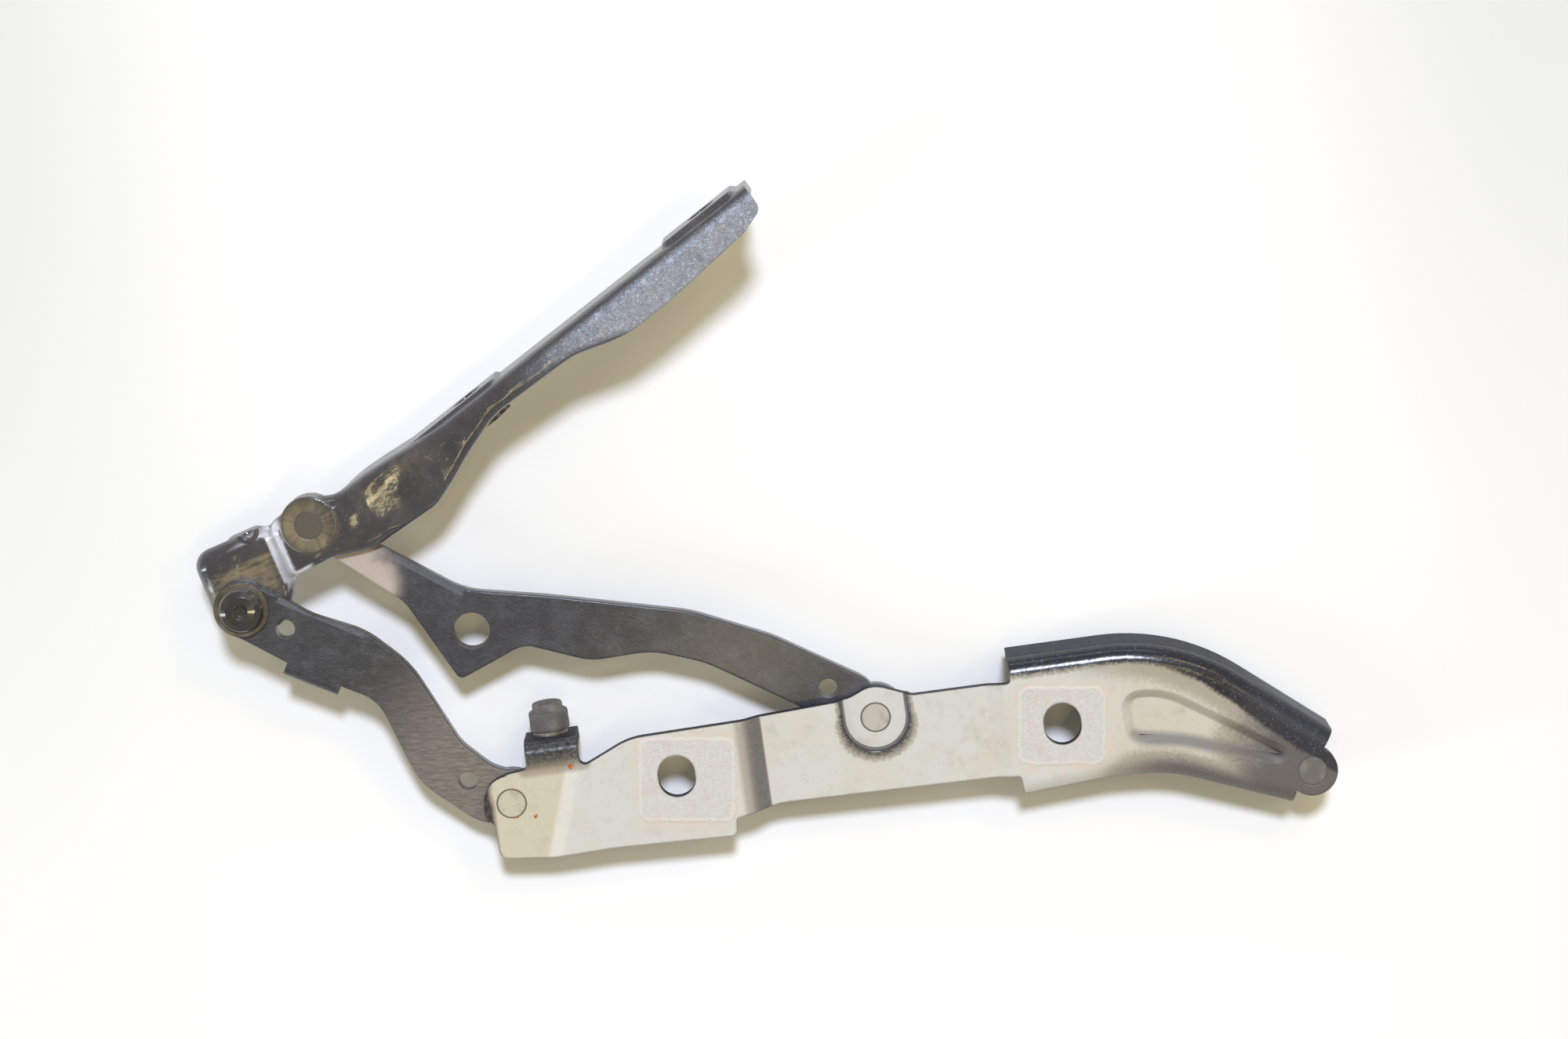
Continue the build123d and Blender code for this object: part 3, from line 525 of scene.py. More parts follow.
    def build(self) -> bpy.types.Material:
        """Make the bracket's material."""
        graph = Graph("bracket_paint")
        patch = graph.noise(5.0, 4.0, 0.7)
        speck = graph.noise(0.7, 4.0, 0.75)
        scratch = graph.noise(0.55, 5.0, 0.8, 1.5)
        black = self.black_spray(graph)
        dusty = self.dusty_end(graph)
        colour, inside, ridge = self.primer(graph, patch, speck, scratch)
        mist = graph.most(graph.band(black, 0.12, 0.7, 0.12), graph.band(dusty, 0.1, 0.8, 0.15))
        colour = graph.mix(mist * 0.6, colour, self.mist)
        dusted = graph.dab(self.soot, self.mist, speck, 0.5, 0.75, 0.4)
        colour = graph.mix(graph.ramp(dusty, 0.1, 0.95), colour, dusted)
        sprayed = graph.dab(self.black, self.fleck, graph.flakes(0.3), 0.9, 0.98, 0.35)
        colour = graph.mix(graph.ramp(black, 0.2, 0.95), colour, sprayed)
        colour = graph.mix(self.rivet_seams(graph) * 0.85, colour, self.seam)
        colour = graph.mix(self.rust_spots(graph), colour, self.rust)
        near_edge, rounded = graph.edge(0.8)
        dust_level = 0.35 + graph.ramp(speck, 0.4, 0.65) * 0.35
        edge_dust = graph.mix(0.5, self.mist, self.soot)
        colour = graph.mix(near_edge * dust_level, colour, edge_dust)
        gloss = graph.mix(graph.ramp(graph.facing_z, 0.3, 0.1), 0.18, 0.75, False)
        matte = graph.mix(inside, 0.5, 0.8, False)
        rough = graph.mix(black - dusty, matte, gloss, False)
        rough = rough + (speck - 0.5) * 0.12
        paint_skin = scratch * inside + ridge * 0.6
        height = paint_skin + graph.noise(3.0, 2.0) * 0.35
        normal = graph.bump(height, 0.22, rounded)
        return graph.surface(Base_Color=colour, Roughness=rough, Normal=normal, Specular_IOR_Level=0.5)


@dataclass(frozen=True)
class ArmPaint(Finish):
    """Gloss black over the arm; its long web is painted pale steel-blue, partly blue flakes and partly
    a painted reflection.
    """

    black: RGB = srgb(60, 60, 67)
    worn_black: RGB = srgb(98, 96, 98)
    # Dark of the painted shade round the boss's edge.
    boss_edge_painted_shade: RGB = srgb(52, 50, 52)
    web_flake_and_reflection_blue: RGB = srgb(154, 163, 180)
    violet: RGB = srgb(128, 122, 150)
    painted_glint_colour: RGB = srgb(208, 216, 232)
    rubbed: RGB = srgb(150, 146, 150)
    # Near-white of the crank's painted highlight.
    crank_painted_highlight: RGB = srgb(232, 234, 246)
    # Tan dust, partly a painted warm reflection, on the boss, head and dish.
    brown: RGB = srgb(146, 132, 100)
    angle: float = 30.5
    boss_radius: float = 7.3
    web_start: Point = (60.0, 90.0)
    crank_run: Point = (-22.0, -6.0)
    crank_width: Point = (-9.5, 6.5)
    fold: Point = (-156.0, 68.7)
    fold_angle: float = 15.0
    head_edge: Point = (-142.0, -147.0)
    dish: Point = (-113.0, 88.0)

    def spokes(self, graph: Graph, centre: Point) -> Level:
        """Return fine noise that runs out from a centre like the strokes of a punch."""
        distance = graph.most(graph.distance(centre), 0.5)
        across = graph.calc(Math.DIVIDE, graph.x - centre[0], distance)
        along = graph.calc(Math.DIVIDE, graph.y - centre[1], distance)
        wheel = graph.node("ShaderNodeCombineXYZ", {0: across, 1: along})
        inputs = {"Vector": wheel.outputs[0], "Scale": 4.5, "Detail": 5.0}
        made = graph.node("ShaderNodeTexNoise", inputs)
        return Level(graph, made.outputs["Fac"])

    def dust_and_painted_reflection(self, graph: Graph, cloud: Level) -> Value:
        """Return where tan dust and painted warm reflections lie: the boss, more on its left and lower
        side, the head near the first pivot and the dish.
        """
        centre = Place.LONG_HEAD.value
        shaken = graph.distance(centre) + (cloud - 0.5) * 4.0
        boss = graph.ramp(shaken, self.boss_radius + 1.2, self.boss_radius - 2.6)
        above = (graph.y - centre[1]) * 0.5
        side = graph.x - centre[0] + above
        # The boss's left and lower side is painted a lighter tan: a painted warm reflection.
        painted_lit_side = graph.ramp(side, 6.0, -6.0) * 0.35 + 0.2
        painted_lit_side = painted_lit_side + graph.ramp(self.spokes(graph, centre), 0.4, 0.65) * 0.25
        boss = boss * painted_lit_side
        lines = graph.streaks(self.fold_angle, 7.0, 1.2, 5.0)
        _, above_fold = graph.turned_plan(self.fold, self.fold_angle)
        patch = graph.ramp(above_fold, 0.4, -1.2) * graph.ramp(graph.x, *self.head_edge)
        patch = patch * 0.7 * graph.ramp(lines + cloud, 0.72, 1.2)
        dish = graph.ramp(graph.distance(self.dish), 13.0, 3.0) * 0.4
        dish = dish * graph.ramp(cloud, 0.35, 0.65)
        return graph.most(boss, patch, dish) * graph.ramp(graph.facing_z, 0.5, 0.9)

    def build(self) -> bpy.types.Material:
        """Make the arm's material."""
        graph = Graph("arm_paint")
        along, across = graph.turned_plan(Place.LONG_HEAD.value, self.angle)
        flake = graph.flakes(0.34)
        tint = graph.flakes(0.47)
        cloud = graph.noise(9.0, 4.0, 0.6)
        # The long web's pale steel-blue is partly its blue flakes and partly a painted reflection.
        web = graph.ramp(along, *self.web_start) * graph.ramp(graph.facing_z, 0.7, 0.97)
        web = web * graph.ramp(across, 0.5, -4.5)
        shimmer = flake * 0.6 + cloud * 0.8
        web_flakes_and_painted_reflection = web * graph.least(0.15 + shimmer, 1.0)
        # The crank's sloped face is painted near-white: a painted highlight in place of the reflection
        # it catches.
        slope = graph.band(graph.facing_z, 0.4, 0.93, 0.04)
        crank = graph.band(along, *self.crank_run, 1.0) * slope
        crank = crank * graph.band(across, *self.crank_width, 1.5)
        dust_and_painted_reflection = self.dust_and_painted_reflection(graph, cloud)
        colour = graph.dab(self.black, self.worn_black, cloud, 0.4, 0.7, 0.3)
        colour = graph.mix(dust_and_painted_reflection, colour, self.brown)
        from_boss = graph.distance(Place.LONG_HEAD.value)
        # A faint dark ring at the boss's edge is painted shade at its step.
        boss_edge_painted_shade = graph.band(from_boss, self.boss_radius, self.boss_radius + 0.5, 0.8)
        colour = graph.mix(boss_edge_painted_shade * 0.15, colour, self.boss_edge_painted_shade)
        colour = graph.mix(crank, colour, self.crank_painted_highlight)
        blue = graph.dab(self.web_flake_and_reflection_blue, self.violet, tint, 0.6, 0.9, 0.5)
        colour = graph.mix(web_flakes_and_painted_reflection, colour, blue)
        colour = graph.dab(colour, self.violet, flake, 0.955, 0.99, 0.3)
        # Near-white specks on the web are painted points of light.
        painted_glints = graph.ramp(flake, 0.93, 0.98) * (web * 0.7)
        colour = graph.mix(painted_glints, colour, self.painted_glint_colour)
        near_edge, rounded = graph.edge(0.6)
        colour = graph.mix(near_edge * 0.3, colour, self.rubbed)
        fine_peel = graph.noise(1.4, 1.0) * 0.25
        orange_peel = fine_peel + graph.noise(7.0, 1.0) * 3.0
        relief = orange_peel * (1.0 - crank * 0.8)
        normal = graph.bump(relief, 0.2, rounded)
        rough = graph.mix(graph.most(web_flakes_and_painted_reflection, dust_and_painted_reflection * 0.8), 0.15, 0.45, False)
        rough = graph.mix(graph.ramp(graph.facing_z, 0.3, 0.05), rough, 0.7, False)
        return graph.surface(
            Base_Color=colour,
            Metallic=graph.most(web_flakes_and_painted_reflection * 0.3, crank * 0.25),
            Roughness=rough,
            IOR=1.75,
            Normal=normal,
            Coat_Weight=0.5,
            Coat_Roughness=0.05,
        )


@dataclass(frozen=True)
class LinkPaint(Finish):
    """Worn satin black on the links, dusty, with brown-grey streaks and bare patches."""

    name: str
    black: RGB
    dusty: RGB
    bare: RGB
    streak_angle: float
    streak_length: float
    foot: Place
    pale_reach: float
    bare_spots: tuple[tuple[float, float, float], ...] = ()
    haze: RGB = srgb(96, 99, 106)
    rubbed: RGB = srgb(150, 140, 134)

    def build(self) -> bpy.types.Material:
        """Make the link's material."""
        graph = Graph(self.name)
        cloud = graph.noise(8.0, 6.0, 0.75)
        fine = graph.noise(0.45, 4.0, 0.75)
        lines = graph.streaks(self.streak_angle, self.streak_length, 0.5, 3.0)
        top = graph.ramp(graph.facing_z, 0.6, 0.95)
        dust = lines * 0.35 + fine * 0.3
        dust = cloud * 0.9 + dust
        dust = graph.ramp(dust, 0.62, 1.12) * 0.6
        from_foot = graph.distance(self.foot.value)
        pale = graph.ramp(from_foot, self.pale_reach, self.pale_reach * 0.3)
        pale = pale * (0.62 + (lines - 0.5) * 1.1)
        dust = graph.most(dust, graph.least(pale, 1.0)) * top
        bare: Value = 0.0
        for x, y, radius in self.bare_spots:
            ragged = graph.distance((x, y)) + (cloud - 0.5) * 7.0
            bare = graph.most(bare, graph.ramp(ragged, radius * 1.25, radius * 0.45))
        bare = bare * graph.ramp(fine, 0.2, 0.45)
        warm = graph.ramp(from_foot, self.pale_reach, self.pale_reach * 0.6)
        colour = graph.mix(dust, self.black, graph.mix(warm, self.haze, self.dusty))
        colour = graph.mix(bare, colour, self.bare)
        colour = graph.dab(colour, self.haze, fine, 0.56, 0.75, 0.4)
        colour = graph.dab(colour, self.black, fine, 0.4, 0.2, 0.3)
        near_edge, rounded = graph.edge(0.5)
        worn = near_edge * graph.ramp(cloud, 0.35, 0.6)
        colour = graph.mix(worn * 0.55, colour, self.rubbed)
        height = fine + lines * 0.8
        return graph.surface(
            Base_Color=colour,
            Roughness=graph.mix(graph.most(dust, bare), 0.3, 0.6, False),
            Normal=graph.bump(height, 0.09, rounded),
            Coat_Weight=0.25,
            Coat_Roughness=0.12,
        )


@dataclass(frozen=True)
class RivetFace(Finish):
    """A rivet's head under the paint of the sheet that it closes."""

    name: str
    paint: RGB
    below: RGB
    level: float
    centre: Place
    steel: RGB = srgb(150, 146, 140)
    seam: RGB = srgb(74, 66, 56)
    rubbed: RGB = srgb(170, 164, 158)
    rim: Point = (3.35, 3.65)

    def build(self) -> bpy.types.Material:
        """Make the rivet's material."""
        graph = Graph(self.name)
        grain = graph.noise(0.6, 4.0, 0.7)
        cloud = graph.noise(3.0, 3.0)
        head = graph.ramp(graph.z, self.level - 0.4, self.level - 0.1)
        rim = graph.ramp(graph.distance(self.centre.value), *self.rim) * head
        colour = graph.mix(grain * 0.5, self.below, self.steel)
        colour = graph.mix(head, colour, self.paint)
        colour = graph.dab(colour, self.below, cloud, 0.45, 0.7, 0.3)
        colour = graph.mix(rim * 0.75, colour, self.seam)
        near_edge, rounded = graph.edge(0.35)
        return graph.surface(
            Base_Color=graph.mix(near_edge * 0.25, colour, self.rubbed),
            Roughness=0.36,
            Normal=graph.bump(grain, 0.05, rounded),
            Metallic=0.1,
            Coat_Weight=0.3,
        )


@dataclass(frozen=True)
class TurnedMetal(Finish):
    """Turned or pressed metal, with fine rings about its pivot."""

    name: str
    metal: RGB
    tarnish: RGB
    centre: Place
    roughness: float = 0.36
    metallic: float = 0.85
    gloss: float = 0.0
    ring_depth: float = 0.04

    def build(self) -> bpy.types.Material:
        """Make the metal's material."""
        graph = Graph(self.name)
        rings = graph.node("ShaderNodeTexNoise", noise_dimensions="1D")
        graph.feed(rings.inputs["W"], graph.distance(self.centre.value) * 4.0)
        cloud = graph.noise(2.6, 4.0, 0.65)
        grain = graph.noise(0.35, 3.0)
        colour = graph.mix(graph.ramp(cloud, 0.35, 0.75), self.metal, self.tarnish)
        colour = graph.dab(colour, self.tarnish, grain, 0.6, 0.8, 0.3)
        height = rings.outputs["Fac"] + grain * 0.5
        _, rounded = graph.edge(0.25)
        normal = graph.bump(height, self.ring_depth, rounded)
        return graph.surface(
            Base_Color=colour,
            Metallic=self.metallic,
            Roughness=self.roughness,
            Normal=normal,
            Coat_Weight=self.gloss,
            Coat_Roughness=0.04,
        )


@dataclass(frozen=True)
class Rubber(Finish):
    """Moulded rubber, matte and dusty, with a faint grain."""

    black: RGB = srgb(94, 93, 92)
    dust: RGB = srgb(140, 135, 128)

    def build(self) -> bpy.types.Material:
        """Make the rubber's material."""
        graph = Graph("rubber")
        grain = graph.noise(0.5, 4.0, 0.7)
        cloud = graph.noise(3.2, 3.0)
        colour = graph.dab(self.black, self.dust, cloud, 0.4, 0.75, 0.6)
        colour = graph.dab(colour, self.dust, grain, 0.6, 0.8, 0.35)
        return graph.surface(Base_Color=colour, Roughness=0.7, Normal=graph.bump(grain, 0.12))


@dataclass(frozen=True)
class Crumbs(Finish):
    """Gritty beige dirt."""

    light: RGB = srgb(196, 184, 158)
    dark: RGB = srgb(120, 104, 84)

    def build(self) -> bpy.types.Material:
        """Make the dirt's material."""
        graph = Graph("grit")
        colour = graph.mix(graph.ramp(graph.noise(0.5, 3.0), 0.35, 0.65), self.dark, self.light)
        return graph.surface(Base_Color=colour, Roughness=0.9)


@dataclass(frozen=True)
class Tabletop(Finish):
    """The plain pale table under the hinge."""

    pale: RGB = (0.955, 0.955, 0.945)
    # Colour of the painted shade towards the table's sides and far corners, and of its faint mottling.
    falloff_shade_colour: RGB = (0.73, 0.745, 0.725)
    middle: float = -13.5

    def build(self) -> bpy.types.Material:
        """Make the table's material, with painted shade that makes it a little dimmer towards its sides
        and far corners.
        """
        graph = Graph("tabletop")
        cloud = graph.noise(300.0, 2.0)
        # Painted shade: the table darkens towards its sides, more so on its far side.
        aside = graph.size(graph.x - self.middle)
        reach = 0.3 + graph.ramp(graph.y, -60.0, 240.0) * 0.7
        corner = graph.ramp(aside, 100.0, 215.0) * reach
        colour = graph.mix(cloud * 0.06, self.pale, self.falloff_shade_colour)
        colour = graph.mix(corner, colour, self.falloff_shade_colour)
        return graph.surface(Base_Color=colour, Roughness=0.55, Specular_IOR_Level=0.2)


class Shape:
    """Meshes made in place, in metres."""

    @staticmethod
    def keep(
        name: str, mesh: bmesh.types.BMesh, finish: bpy.types.Material, smooth: bool = True
    ) -> bpy.types.Object:
        """Turn mesh data into an object at the origin.

        Args:
            name: The object's name.
            mesh: The mesh data, which is freed.
            finish: Its material.
            smooth: Whether its faces are shaded smooth.

        Returns:
            The object.
        """
        data = bpy.data.meshes.new(name)
        bmesh.ops.recalc_face_normals(mesh, faces=mesh.faces)
        mesh.to_mesh(data)
        mesh.free()
        data.materials.append(finish)
        for face in data.polygons:
            face.use_smooth = smooth
        made = bpy.data.objects.new(name, data)
        bpy.context.scene.collection.objects.link(made)
        return made

    @staticmethod
    def lathe(profile: list[Point], sides: int) -> bmesh.types.BMesh:
        """Spin a closed (radius, height) profile in millimetres about Z.

        Args:
            profile: Points from the axis at one end to the axis at the other.
            sides: How many flats make the round.

        Returns:
            The mesh data.
        """
        mesh = bmesh.new()
        points = [mesh.verts.new((r * MM, 0, z * MM)) for r, z in profile]
        lines = [mesh.edges.new(pair) for pair in zip(points, points[1:])]
        bmesh.ops.spin(
            mesh,
            geom=points + lines,
            axis=(0, 0, 1),
            cent=(0, 0, 0),
            steps=sides,
            angle=2 * math.pi,
            use_merge=True,
        )
        bmesh.ops.remove_doubles(mesh, verts=mesh.verts, dist=1e-6)
        return mesh


class Repeater:
    """A Geometry Nodes tree that sets copies of a small shape where they belong."""

    def __init__(self, name: str) -> None:
        """Start an empty tree.

        Args:
            name: The tree's name.
        """
        self.tree = bpy.data.node_groups.new(name, "GeometryNodeTree")
        self.tree.interface.new_socket("Geometry", in_out="INPUT", socket_type="NodeSocketGeometry")
        self.tree.interface.new_socket("Geometry", in_out="OUTPUT", socket_type="NodeSocketGeometry")
        self.start = self.tree.nodes.new("NodeGroupInput")
        self.end = self.tree.nodes.new("NodeGroupOutput")

    def size(self, name: str, value: float | int) -> Socket:
        """Add a named input to the tree and return its socket."""
        kind = "NodeSocketInt" if isinstance(value, int) else "NodeSocketFloat"
        made = self.tree.interface.new_socket(name, in_out="INPUT", socket_type=kind)
        made.default_value = value
        return self.start.outputs[name]

    def node(self, kind: str, inputs: dict | None = None, **settings: object) -> bpy.types.Node:
        """Make a node and feed its inputs, by name or number."""
        made = self.tree.nodes.new(kind)
        for key, value in settings.items():
            setattr(made, key, value)
        for key, value in (inputs or {}).items():
            if isinstance(value, bpy.types.NodeSocket):
                self.tree.links.new(value, made.inputs[key])
            else:
                made.inputs[key].default_value = value
        return made

    def finish(self, instances: Socket, material: bpy.types.Material) -> None:
        """Make the copies real, dress them and close the tree."""
        real = self.node("GeometryNodeRealizeInstances", {0: instances})
        inputs = {"Geometry": real.outputs[0], "Material": material}
        dressed = self.node("GeometryNodeSetMaterial", inputs)
        self.tree.links.new(dressed.outputs[0], self.end.inputs[0])

    def applied(
        self, name: str, carrier: bpy.types.Mesh, values: dict[str, float | int]
    ) -> bpy.types.Object:
        """Run the tree on a carrier mesh and return the result as a plain mesh object.

        Args:
            name: The object's name.
            carrier: What the tree starts from.
            values: The tree's named inputs.

        Returns:
            The object, at the origin.
        """
        holder = bpy.data.objects.new(name + "_carrier", carrier)
        bpy.context.scene.collection.objects.link(holder)
        modifier = holder.modifiers.new(name, "NODES")
        modifier.node_group = self.tree
        for item in self.tree.interface.items_tree:
            if item.item_type == "SOCKET" and item.in_out == "INPUT" and item.name in values:
                modifier[item.identifier] = values[item.name]
        view = bpy.context.evaluated_depsgraph_get()
        view.update()
        data = bpy.data.meshes.new_from_object(holder.evaluated_get(view))
        bpy.data.objects.remove(holder)
        data.name = name
        made = bpy.data.objects.new(name, data)
        bpy.context.scene.collection.objects.link(made)
        return made


@dataclass
class BumpStop:
    """The rubber bump stop on the bracket's bent tab, and the grit round its neck."""

    centre_x: float = -81.3
    face_y: float = 13.8
    level: float = -9.4
    radius: float = 5.1
    length: float = 8.4
    crown: float = 2.1
    sides: int = 64
    neck_radius: float = 4.2
    neck_height: float = 0.7
    neck_level: float = 0.55
    grit_count: int = 90
    grit_radius: float = 0.32

    def place(self) -> Matrix:
        """Return where the stop's axis stands on the tab, along +Y."""
        base = Vector((self.centre_x, self.face_y, self.level)) * MM
        return Matrix.Translation(base) @ Matrix.Rotation(math.radians(-90), 4, "X")

    def rubber(self, finish: bpy.types.Material) -> bpy.types.Object:
        """Make the moulded rubber with its stepped, rounded cap."""
        r, end = self.radius, self.length
        shoulder = end - self.crown
        profile = [
            (0.0, 1.0),
            (r - 0.7, 1.0),
            (r - 0.25, 1.12),
            (r - 0.05, 1.4),
            (r, 1.9),
            (r, shoulder - 0.7),
            (r - 0.1, shoulder - 0.3),
            (r - 0.45, shoulder - 0.05),
            (r - 1.05, shoulder),
            (r - 1.15, shoulder + 0.15),
            (r - 1.2, end - 0.6),
            (r - 1.35, end - 0.2),
            (r - 1.8, end),
            (r - 2.6, end),
            (0.0, end - 0.05),
        ]
        mesh = Shape.lathe(profile, self.sides)
        mesh.transform(self.place())
        return Shape.keep("bump_rubber", mesh, finish)

    def grit(self, finish: bpy.types.Material) -> bpy.types.Object:
        """Scatter crumbs of dirt round the neck between tab and rubber."""
        neck = bmesh.new()
        bmesh.ops.create_cone(
            neck,
            segments=32,
            radius1=self.neck_radius * MM,
            radius2=self.neck_radius * MM,
            depth=self.neck_height * MM,
        )
        neck.transform(self.place() @ Matrix.Translation((0, 0, self.neck_level * MM)))
        carrier = bpy.data.meshes.new("neck")
        neck.to_mesh(carrier)
        neck.free()
        tree = Repeater("grit_on_neck")
        count = tree.size("Count", self.grit_count)
        size = tree.size("Size", self.grit_radius * MM)
        spread = tree.node(
            "GeometryNodeDistributePointsOnFaces",
            {"Mesh": tree.start.outputs[0], "Seed": 7},
        )
        area = math.pi * 2 * self.neck_radius * self.neck_height * MM * MM
        density = tree.node("ShaderNodeMath", {0: count, 1: area}, operation="DIVIDE")
        tree.tree.links.new(density.outputs[0], spread.inputs["Density"])
        crumb = tree.node("GeometryNodeMeshIcoSphere", {"Radius": size, "Subdivisions": 1})
        scale = tree.node("FunctionNodeRandomValue", {2: 0.5, 3: 1.4, "Seed": 3}, data_type="FLOAT")
        turns = {1: (6.0, 6.0, 6.0), "Seed": 5}
        turn = tree.node("FunctionNodeRandomValue", turns, data_type="FLOAT_VECTOR")
        copies = tree.node(
            "GeometryNodeInstanceOnPoints",
            {"Points": spread.outputs[0], "Instance": crumb.outputs[0]},
        )
        tree.tree.links.new(scale.outputs[1], copies.inputs["Scale"])
        tree.tree.links.new(turn.outputs[0], copies.inputs["Rotation"])
        tree.finish(copies.outputs[0], finish)
        return tree.applied("bump_stop_grit", carrier, {"Count": self.grit_count})

    def build(self, rubber: bpy.types.Material, dirt: bpy.types.Material) -> None:
        """Make both pieces and let them ride on the bracket."""
        stop = self.rubber(rubber)
        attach(stop, "root")
        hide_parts("bump_stop_rubber")
        log.info("bump stop rubber")
        grit = self.grit(dirt)
        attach(grit, "root")
        log.info("bump stop grit")


@dataclass
class NutThreads:
    """Thread turns inside the arm's two weld nuts."""

    arm_angle: float = 30.5
    bolts_x: tuple[float, float] = (50.8, 128.0)
    seat_y: float = -3.1
    level: float = -15.7
    radius: float = 3.4
    pitch: float = 1.25
    height: float = 6.0
    sides: int = 40
    past_bore: float = 0.02
    ridge_radius: float = 0.42
    first_turn: float = 0.5

    def build(self, metal: bpy.types.Material) -> None:
        """Make the turns as rings set along each nut's bore."""
        origin = Vector(Place.LONG_HEAD.value).to_3d() * MM
        arm = Matrix.Translation(origin) @ Matrix.Rotation(math.radians(self.arm_angle), 4, "Z")
        for name, bolt_x in zip(("inner", "outer"), self.bolts_x):
            start = bmesh.new()
            start.verts.new((0, 0, 0))
            carrier = bpy.data.meshes.new("bore_" + name)
            start.to_mesh(carrier)
            start.free()
            tree = Repeater("thread_turns_" + name)
            pitch = tree.size("Pitch", self.pitch * MM)
            turns = tree.size("Turns", int(self.height / self.pitch))
            step = tree.node("ShaderNodeCombineXYZ", {2: pitch})
            line = tree.node("GeometryNodeMeshLine", {"Count": turns, "Offset": step.outputs[0]})
            loop = {"Resolution": self.sides, "Radius": (self.radius + self.past_bore) * MM}
            circle = tree.node("GeometryNodeCurvePrimitiveCircle", loop)
            section = {"Resolution": 4, "Radius": self.ridge_radius * MM}
            ridge = tree.node("GeometryNodeCurvePrimitiveCircle", section)
            ring = tree.node("GeometryNodeCurveToMesh", {0: circle.outputs[0], 1: ridge.outputs[0]})
            inputs = {"Points": line.outputs[0], "Instance": ring.outputs[0]}
            copies = tree.node("GeometryNodeInstanceOnPoints", inputs)
            tree.finish(copies.outputs[0], metal)
            made = tree.applied(f"lid_nut_{name}_thread", carrier, {"Pitch": self.pitch * MM})
            foot_y = self.seat_y - self.height + self.first_turn
            bore = Matrix.Translation(Vector((bolt_x, foot_y, self.level)) * MM)
            made.data.transform(arm @ bore @ Matrix.Rotation(math.radians(-90), 4, "X"))
            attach(made, "lid_arm")
            log.info("%s nut thread", name)


class Wardrobe:
    """Which finish each CAD node wears."""

    def __init__(self) -> None:
        """Choose the finishes."""
        primer, far_side = srgb(203, 196, 178), srgb(96, 92, 88)
        dull, brown = srgb(168, 164, 158), srgb(112, 104, 94)
        bronze, tan = srgb(176, 158, 126), srgb(128, 110, 82)
        dusty_steel, soot = srgb(118, 111, 100), srgb(62, 61, 63)
        self.finishes: dict[str, Finish] = {
            "body_bracket": BracketPaint(),
            "lid_arm": ArmPaint(),
            "short_link": LinkPaint(
                name="short_link_paint",
                black=srgb(54, 55, 61),
                dusty=srgb(146, 136, 125),
                bare=srgb(196, 186, 176),
                streak_angle=-8.0,
                streak_length=2.4,
                foot=Place.SHORT_FOOT,
                pale_reach=58.0,
            ),
            "long_link": LinkPaint(
                name="long_link_paint",
                black=srgb(52, 53, 62),
                dusty=srgb(104, 105, 114),
                bare=srgb(192, 180, 170),
                streak_angle=153.0,
                streak_length=1.2,
                foot=Place.LONG_FOOT,
                pale_reach=14.0,
                bare_spots=((-128.0, 66.0, 12.0), (-121.0, 60.0, 8.0)),
            ),
            "short_link_foot_rivet": RivetFace(
                "short_foot_face", primer, far_side, 0.0, Place.SHORT_FOOT
            ),
            "long_link_foot_rivet": RivetFace(
                "long_foot_face", srgb(192, 187, 180), far_side, -3.7, Place.LONG_FOOT
            ),
            "strut_ball_stud": RivetFace("strut_face", srgb(108, 107, 106), dull, 0.0, Place.STRUT),
            "long_link_head_rivet": RivetFace(
                "long_head_face", srgb(92, 88, 80), far_side, -3.3, Place.LONG_HEAD
            ),
            "short_link_head_rivet": TurnedMetal(
                "dome_black",
                srgb(44, 44, 48),
                srgb(60, 58, 58),
                Place.SHORT_HEAD,
                roughness=0.2,
                metallic=0.0,
                gloss=1.0,
                ring_depth=0.006,
            ),
            "lid_nut_inner": TurnedMetal("nut_steel_inner", soot, dull, Place.LONG_HEAD),
            "lid_nut_outer": TurnedMetal("nut_steel_outer", soot, dull, Place.LONG_HEAD),
            "bump_stop_stem": TurnedMetal("stem_steel", dull, brown, Place.SHORT_FOOT),
            "short_link_head_washer": TurnedMetal(
                "head_washer", dusty_steel, srgb(92, 84, 72), Place.SHORT_HEAD, roughness=0.45
            ),
        }
        for pivot, place in (
            ("short_link_foot", Place.SHORT_FOOT),
            ("short_link_head", Place.SHORT_HEAD),
            ("long_link_foot", Place.LONG_FOOT),
            ("long_link_head", Place.LONG_HEAD),
        ):
            bush = TurnedMetal(pivot + "_bronze", bronze, tan, place, roughness=0.4)
            self.finishes[pivot + "_bush"] = bush
            washer = TurnedMetal(pivot + "_zinc", dull, brown, place)
            self.finishes.setdefault(pivot + "_washer", washer)
        self.finishes["long_link_head_pin"] = TurnedMetal("pin_steel", dull, brown, Place.LONG_HEAD)

    def dress(self, nodes: dict[str, bpy.types.Object]) -> None:
        """Put each finish on its node.

        Args:
            nodes: The CAD's nodes by name.
        """
        for name, finish in self.finishes.items():
            material = finish.build()
            piece = nodes[name]
            if not piece.data.materials:
                piece.data.materials.append(material)
            for slot in piece.material_slots:
                slot.material = material
            log.info("%s wears %s", name, material.name)


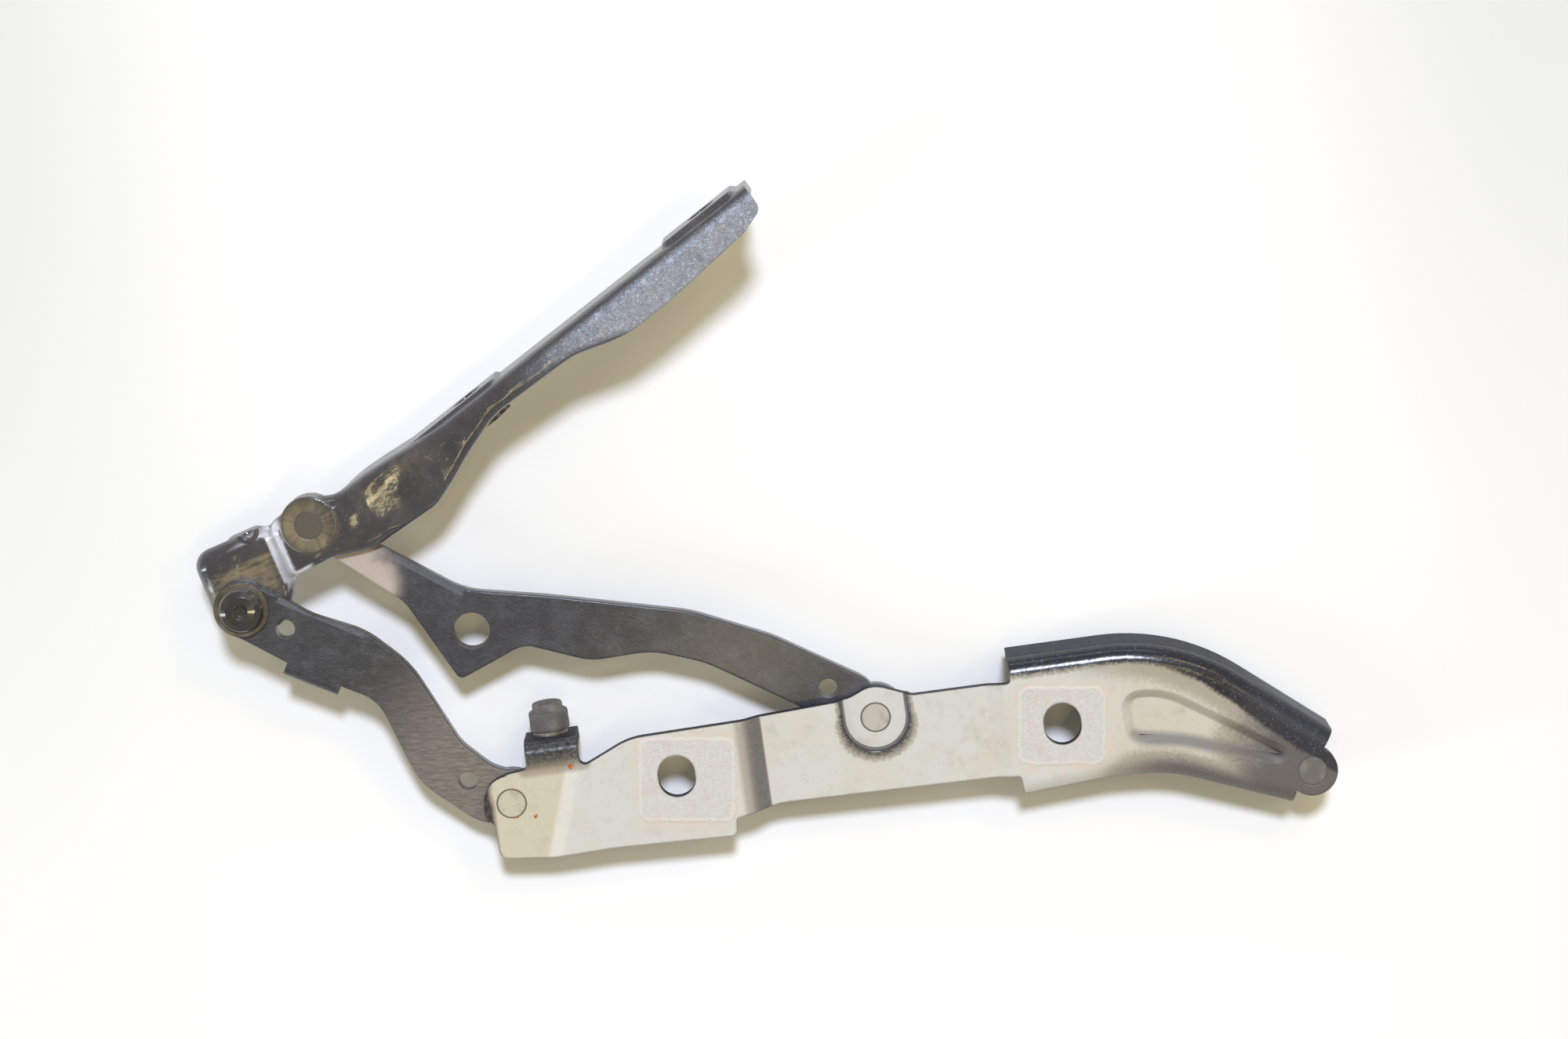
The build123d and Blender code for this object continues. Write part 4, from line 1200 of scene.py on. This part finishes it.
@dataclass
class Studio:
    """The table, the lamps, the surroundings and the camera."""

    towards_camera: tuple[float, float, float] = (0.023, 0.163, 0.986)
    image_right: tuple[float, float, float] = (0.9905, -0.1377, 0.0)
    target: tuple[float, float, float] = (-13.5, 62.6, 0.0)
    camera_distance: float = 1100.0
    frame_width: float = 400.0
    table_drop: float = 19.7
    table_half: float = 3.0
    lamp_distance: float = 1.5
    key_tilt: float = 21.0
    key_spread: float = 9.0
    key_energy: float = 2.5
    key_colour: RGB = (0.76, 0.82, 1.0)
    cool: RGB = (0.86, 0.9, 1.0)
    warm: RGB = (1.0, 0.84, 0.46)

    def __post_init__(self) -> None:
        """Square the camera's axes up."""
        self.back = Vector(self.towards_camera).normalized()
        right = Vector(self.image_right)
        self.right = (right - self.back * right.dot(self.back)).normalized()
        self.up = self.back.cross(self.right)
        self.turn = Matrix((self.right, self.up, self.back)).transposed().to_4x4()

    def direction(self, right: float, up: float, back: float) -> Vector:
        """Return a direction given in the picture's own right, up and back."""
        return (self.right * right + self.up * up + self.back * back).normalized()

    def camera(self) -> None:
        """Make the camera at the photograph's angle."""
        data = bpy.data.cameras.new("camera")
        data.sensor_width = 36.0
        data.lens = data.sensor_width * self.camera_distance / self.frame_width
        data.clip_start, data.clip_end = 0.05, 50.0
        camera = bpy.data.objects.new("camera", data)
        spot = Vector(self.target) * MM + self.back * self.camera_distance * MM
        camera.matrix_world = Matrix.Translation(spot) @ self.turn
        bpy.context.scene.collection.objects.link(camera)
        bpy.context.scene.camera = camera

    def table(self) -> None:
        """Make the tabletop square to the camera, under the hinge's lowest point."""
        mesh = bmesh.new()
        bmesh.ops.create_grid(mesh, x_segments=1, y_segments=1, size=self.table_half)
        mesh.transform(Matrix.Translation(self.back * -self.table_drop * MM) @ self.turn)
        top = Shape.keep("table", mesh, Tabletop().build(), smooth=False)

    def hang(self, data: bpy.types.Light, towards: Vector) -> None:
        """Set a lamp in its direction from the hinge, facing it."""
        lamp = bpy.data.objects.new(data.name, data)
        lamp.location = Vector(self.target) * MM + towards * self.lamp_distance
        lamp.rotation_mode = "QUATERNION"
        lamp.rotation_quaternion = (-towards).to_track_quat("-Z", "Y")
        bpy.context.scene.collection.objects.link(lamp)

    def lamps(self) -> None:
        """Make the overhead key and the low strips that draw the highlights."""
        key = bpy.data.lights.new("key", "SUN")
        key.energy = self.key_energy
        key.color = self.key_colour
        key.angle = math.radians(self.key_spread)
        tilt = math.radians(self.key_tilt)
        self.hang(key, self.direction(0.02, math.sin(tilt), math.cos(tilt)))
        for name, towards, energy, colour, size in (
            ("low_left", (-0.855, -0.359, 0.375), 4.2, self.cool, (0.14, 0.9)),
            ("low_top", (-0.1, 0.92, 0.38), 1.8, self.cool, (1.2, 0.05)),
            ("warm_top", (0.4, 0.505, 0.775), 1.4, self.warm, (0.4, 0.1)),
            ("warm_side", (0.52, 0.14, 0.84), 0.9, self.warm, (0.1, 0.3)),
            ("warm_front", (0.1, -0.25, 0.96), 2.0, self.warm, (0.8, 0.055)),
        ):
            strip = bpy.data.lights.new(name, "AREA")
            strip.shape = "RECTANGLE"
            strip.size, strip.size_y = size
            strip.energy = energy
            strip.color = colour
            self.hang(strip, self.direction(*towards))

    def surroundings(self) -> None:
        """Make the room: dim and warm overhead, brighter and greyer low down."""
        world = bpy.data.worlds.new("room")
        world.use_nodes = True
        tree = world.node_tree
        tree.nodes.clear()
        ray = tree.nodes.new("ShaderNodeTexCoord")
        height = tree.nodes.new("ShaderNodeVectorMath")
        height.operation = "DOT_PRODUCT"
        tree.links.new(ray.outputs["Generated"], height.inputs[0])
        height.inputs[1].default_value = self.back
        ramp = tree.nodes.new("ShaderNodeValToRGB")
        tree.links.new(height.outputs["Value"], ramp.inputs[0])
        stops = ramp.color_ramp.elements
        stops[0].position, stops[0].color = 0.0, (0.42, 0.40, 0.33, 1)
        stops[1].position, stops[1].color = 1.0, (0.26, 0.22, 0.12, 1)
        for position, colour in ((0.3, (0.44, 0.405, 0.31, 1)), (0.6, (0.31, 0.27, 0.17, 1))):
            stop = stops.new(position)
            stop.color = colour
        back = tree.nodes.new("ShaderNodeBackground")
        tree.links.new(ramp.outputs[0], back.inputs[0])
        output = tree.nodes.new("ShaderNodeOutputWorld")
        tree.links.new(back.outputs[0], output.inputs[0])
        bpy.context.scene.world = world

    def build(self) -> None:
        """Set the whole studio up."""
        self.camera()
        self.table()
        self.lamps()
        self.surroundings()
        bpy.context.scene.view_settings.view_transform = "Standard"
        log.info("studio")


def main() -> None:
    """Load the frame, dress it and add what the CAD leaves to the looks."""
    logging.basicConfig(level=logging.INFO, format="%(message)s")
    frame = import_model()
    Studio().build()
    Wardrobe().dress(frame["nodes"])
    BumpStop().build(Rubber().build(), Crumbs().build())
    steel = TurnedMetal("thread_steel", srgb(120, 116, 110), srgb(84, 78, 70), Place.LONG_HEAD)
    NutThreads().build(steel.build())
    log.info("sizes written")


if __name__ == "__main__":
    main()
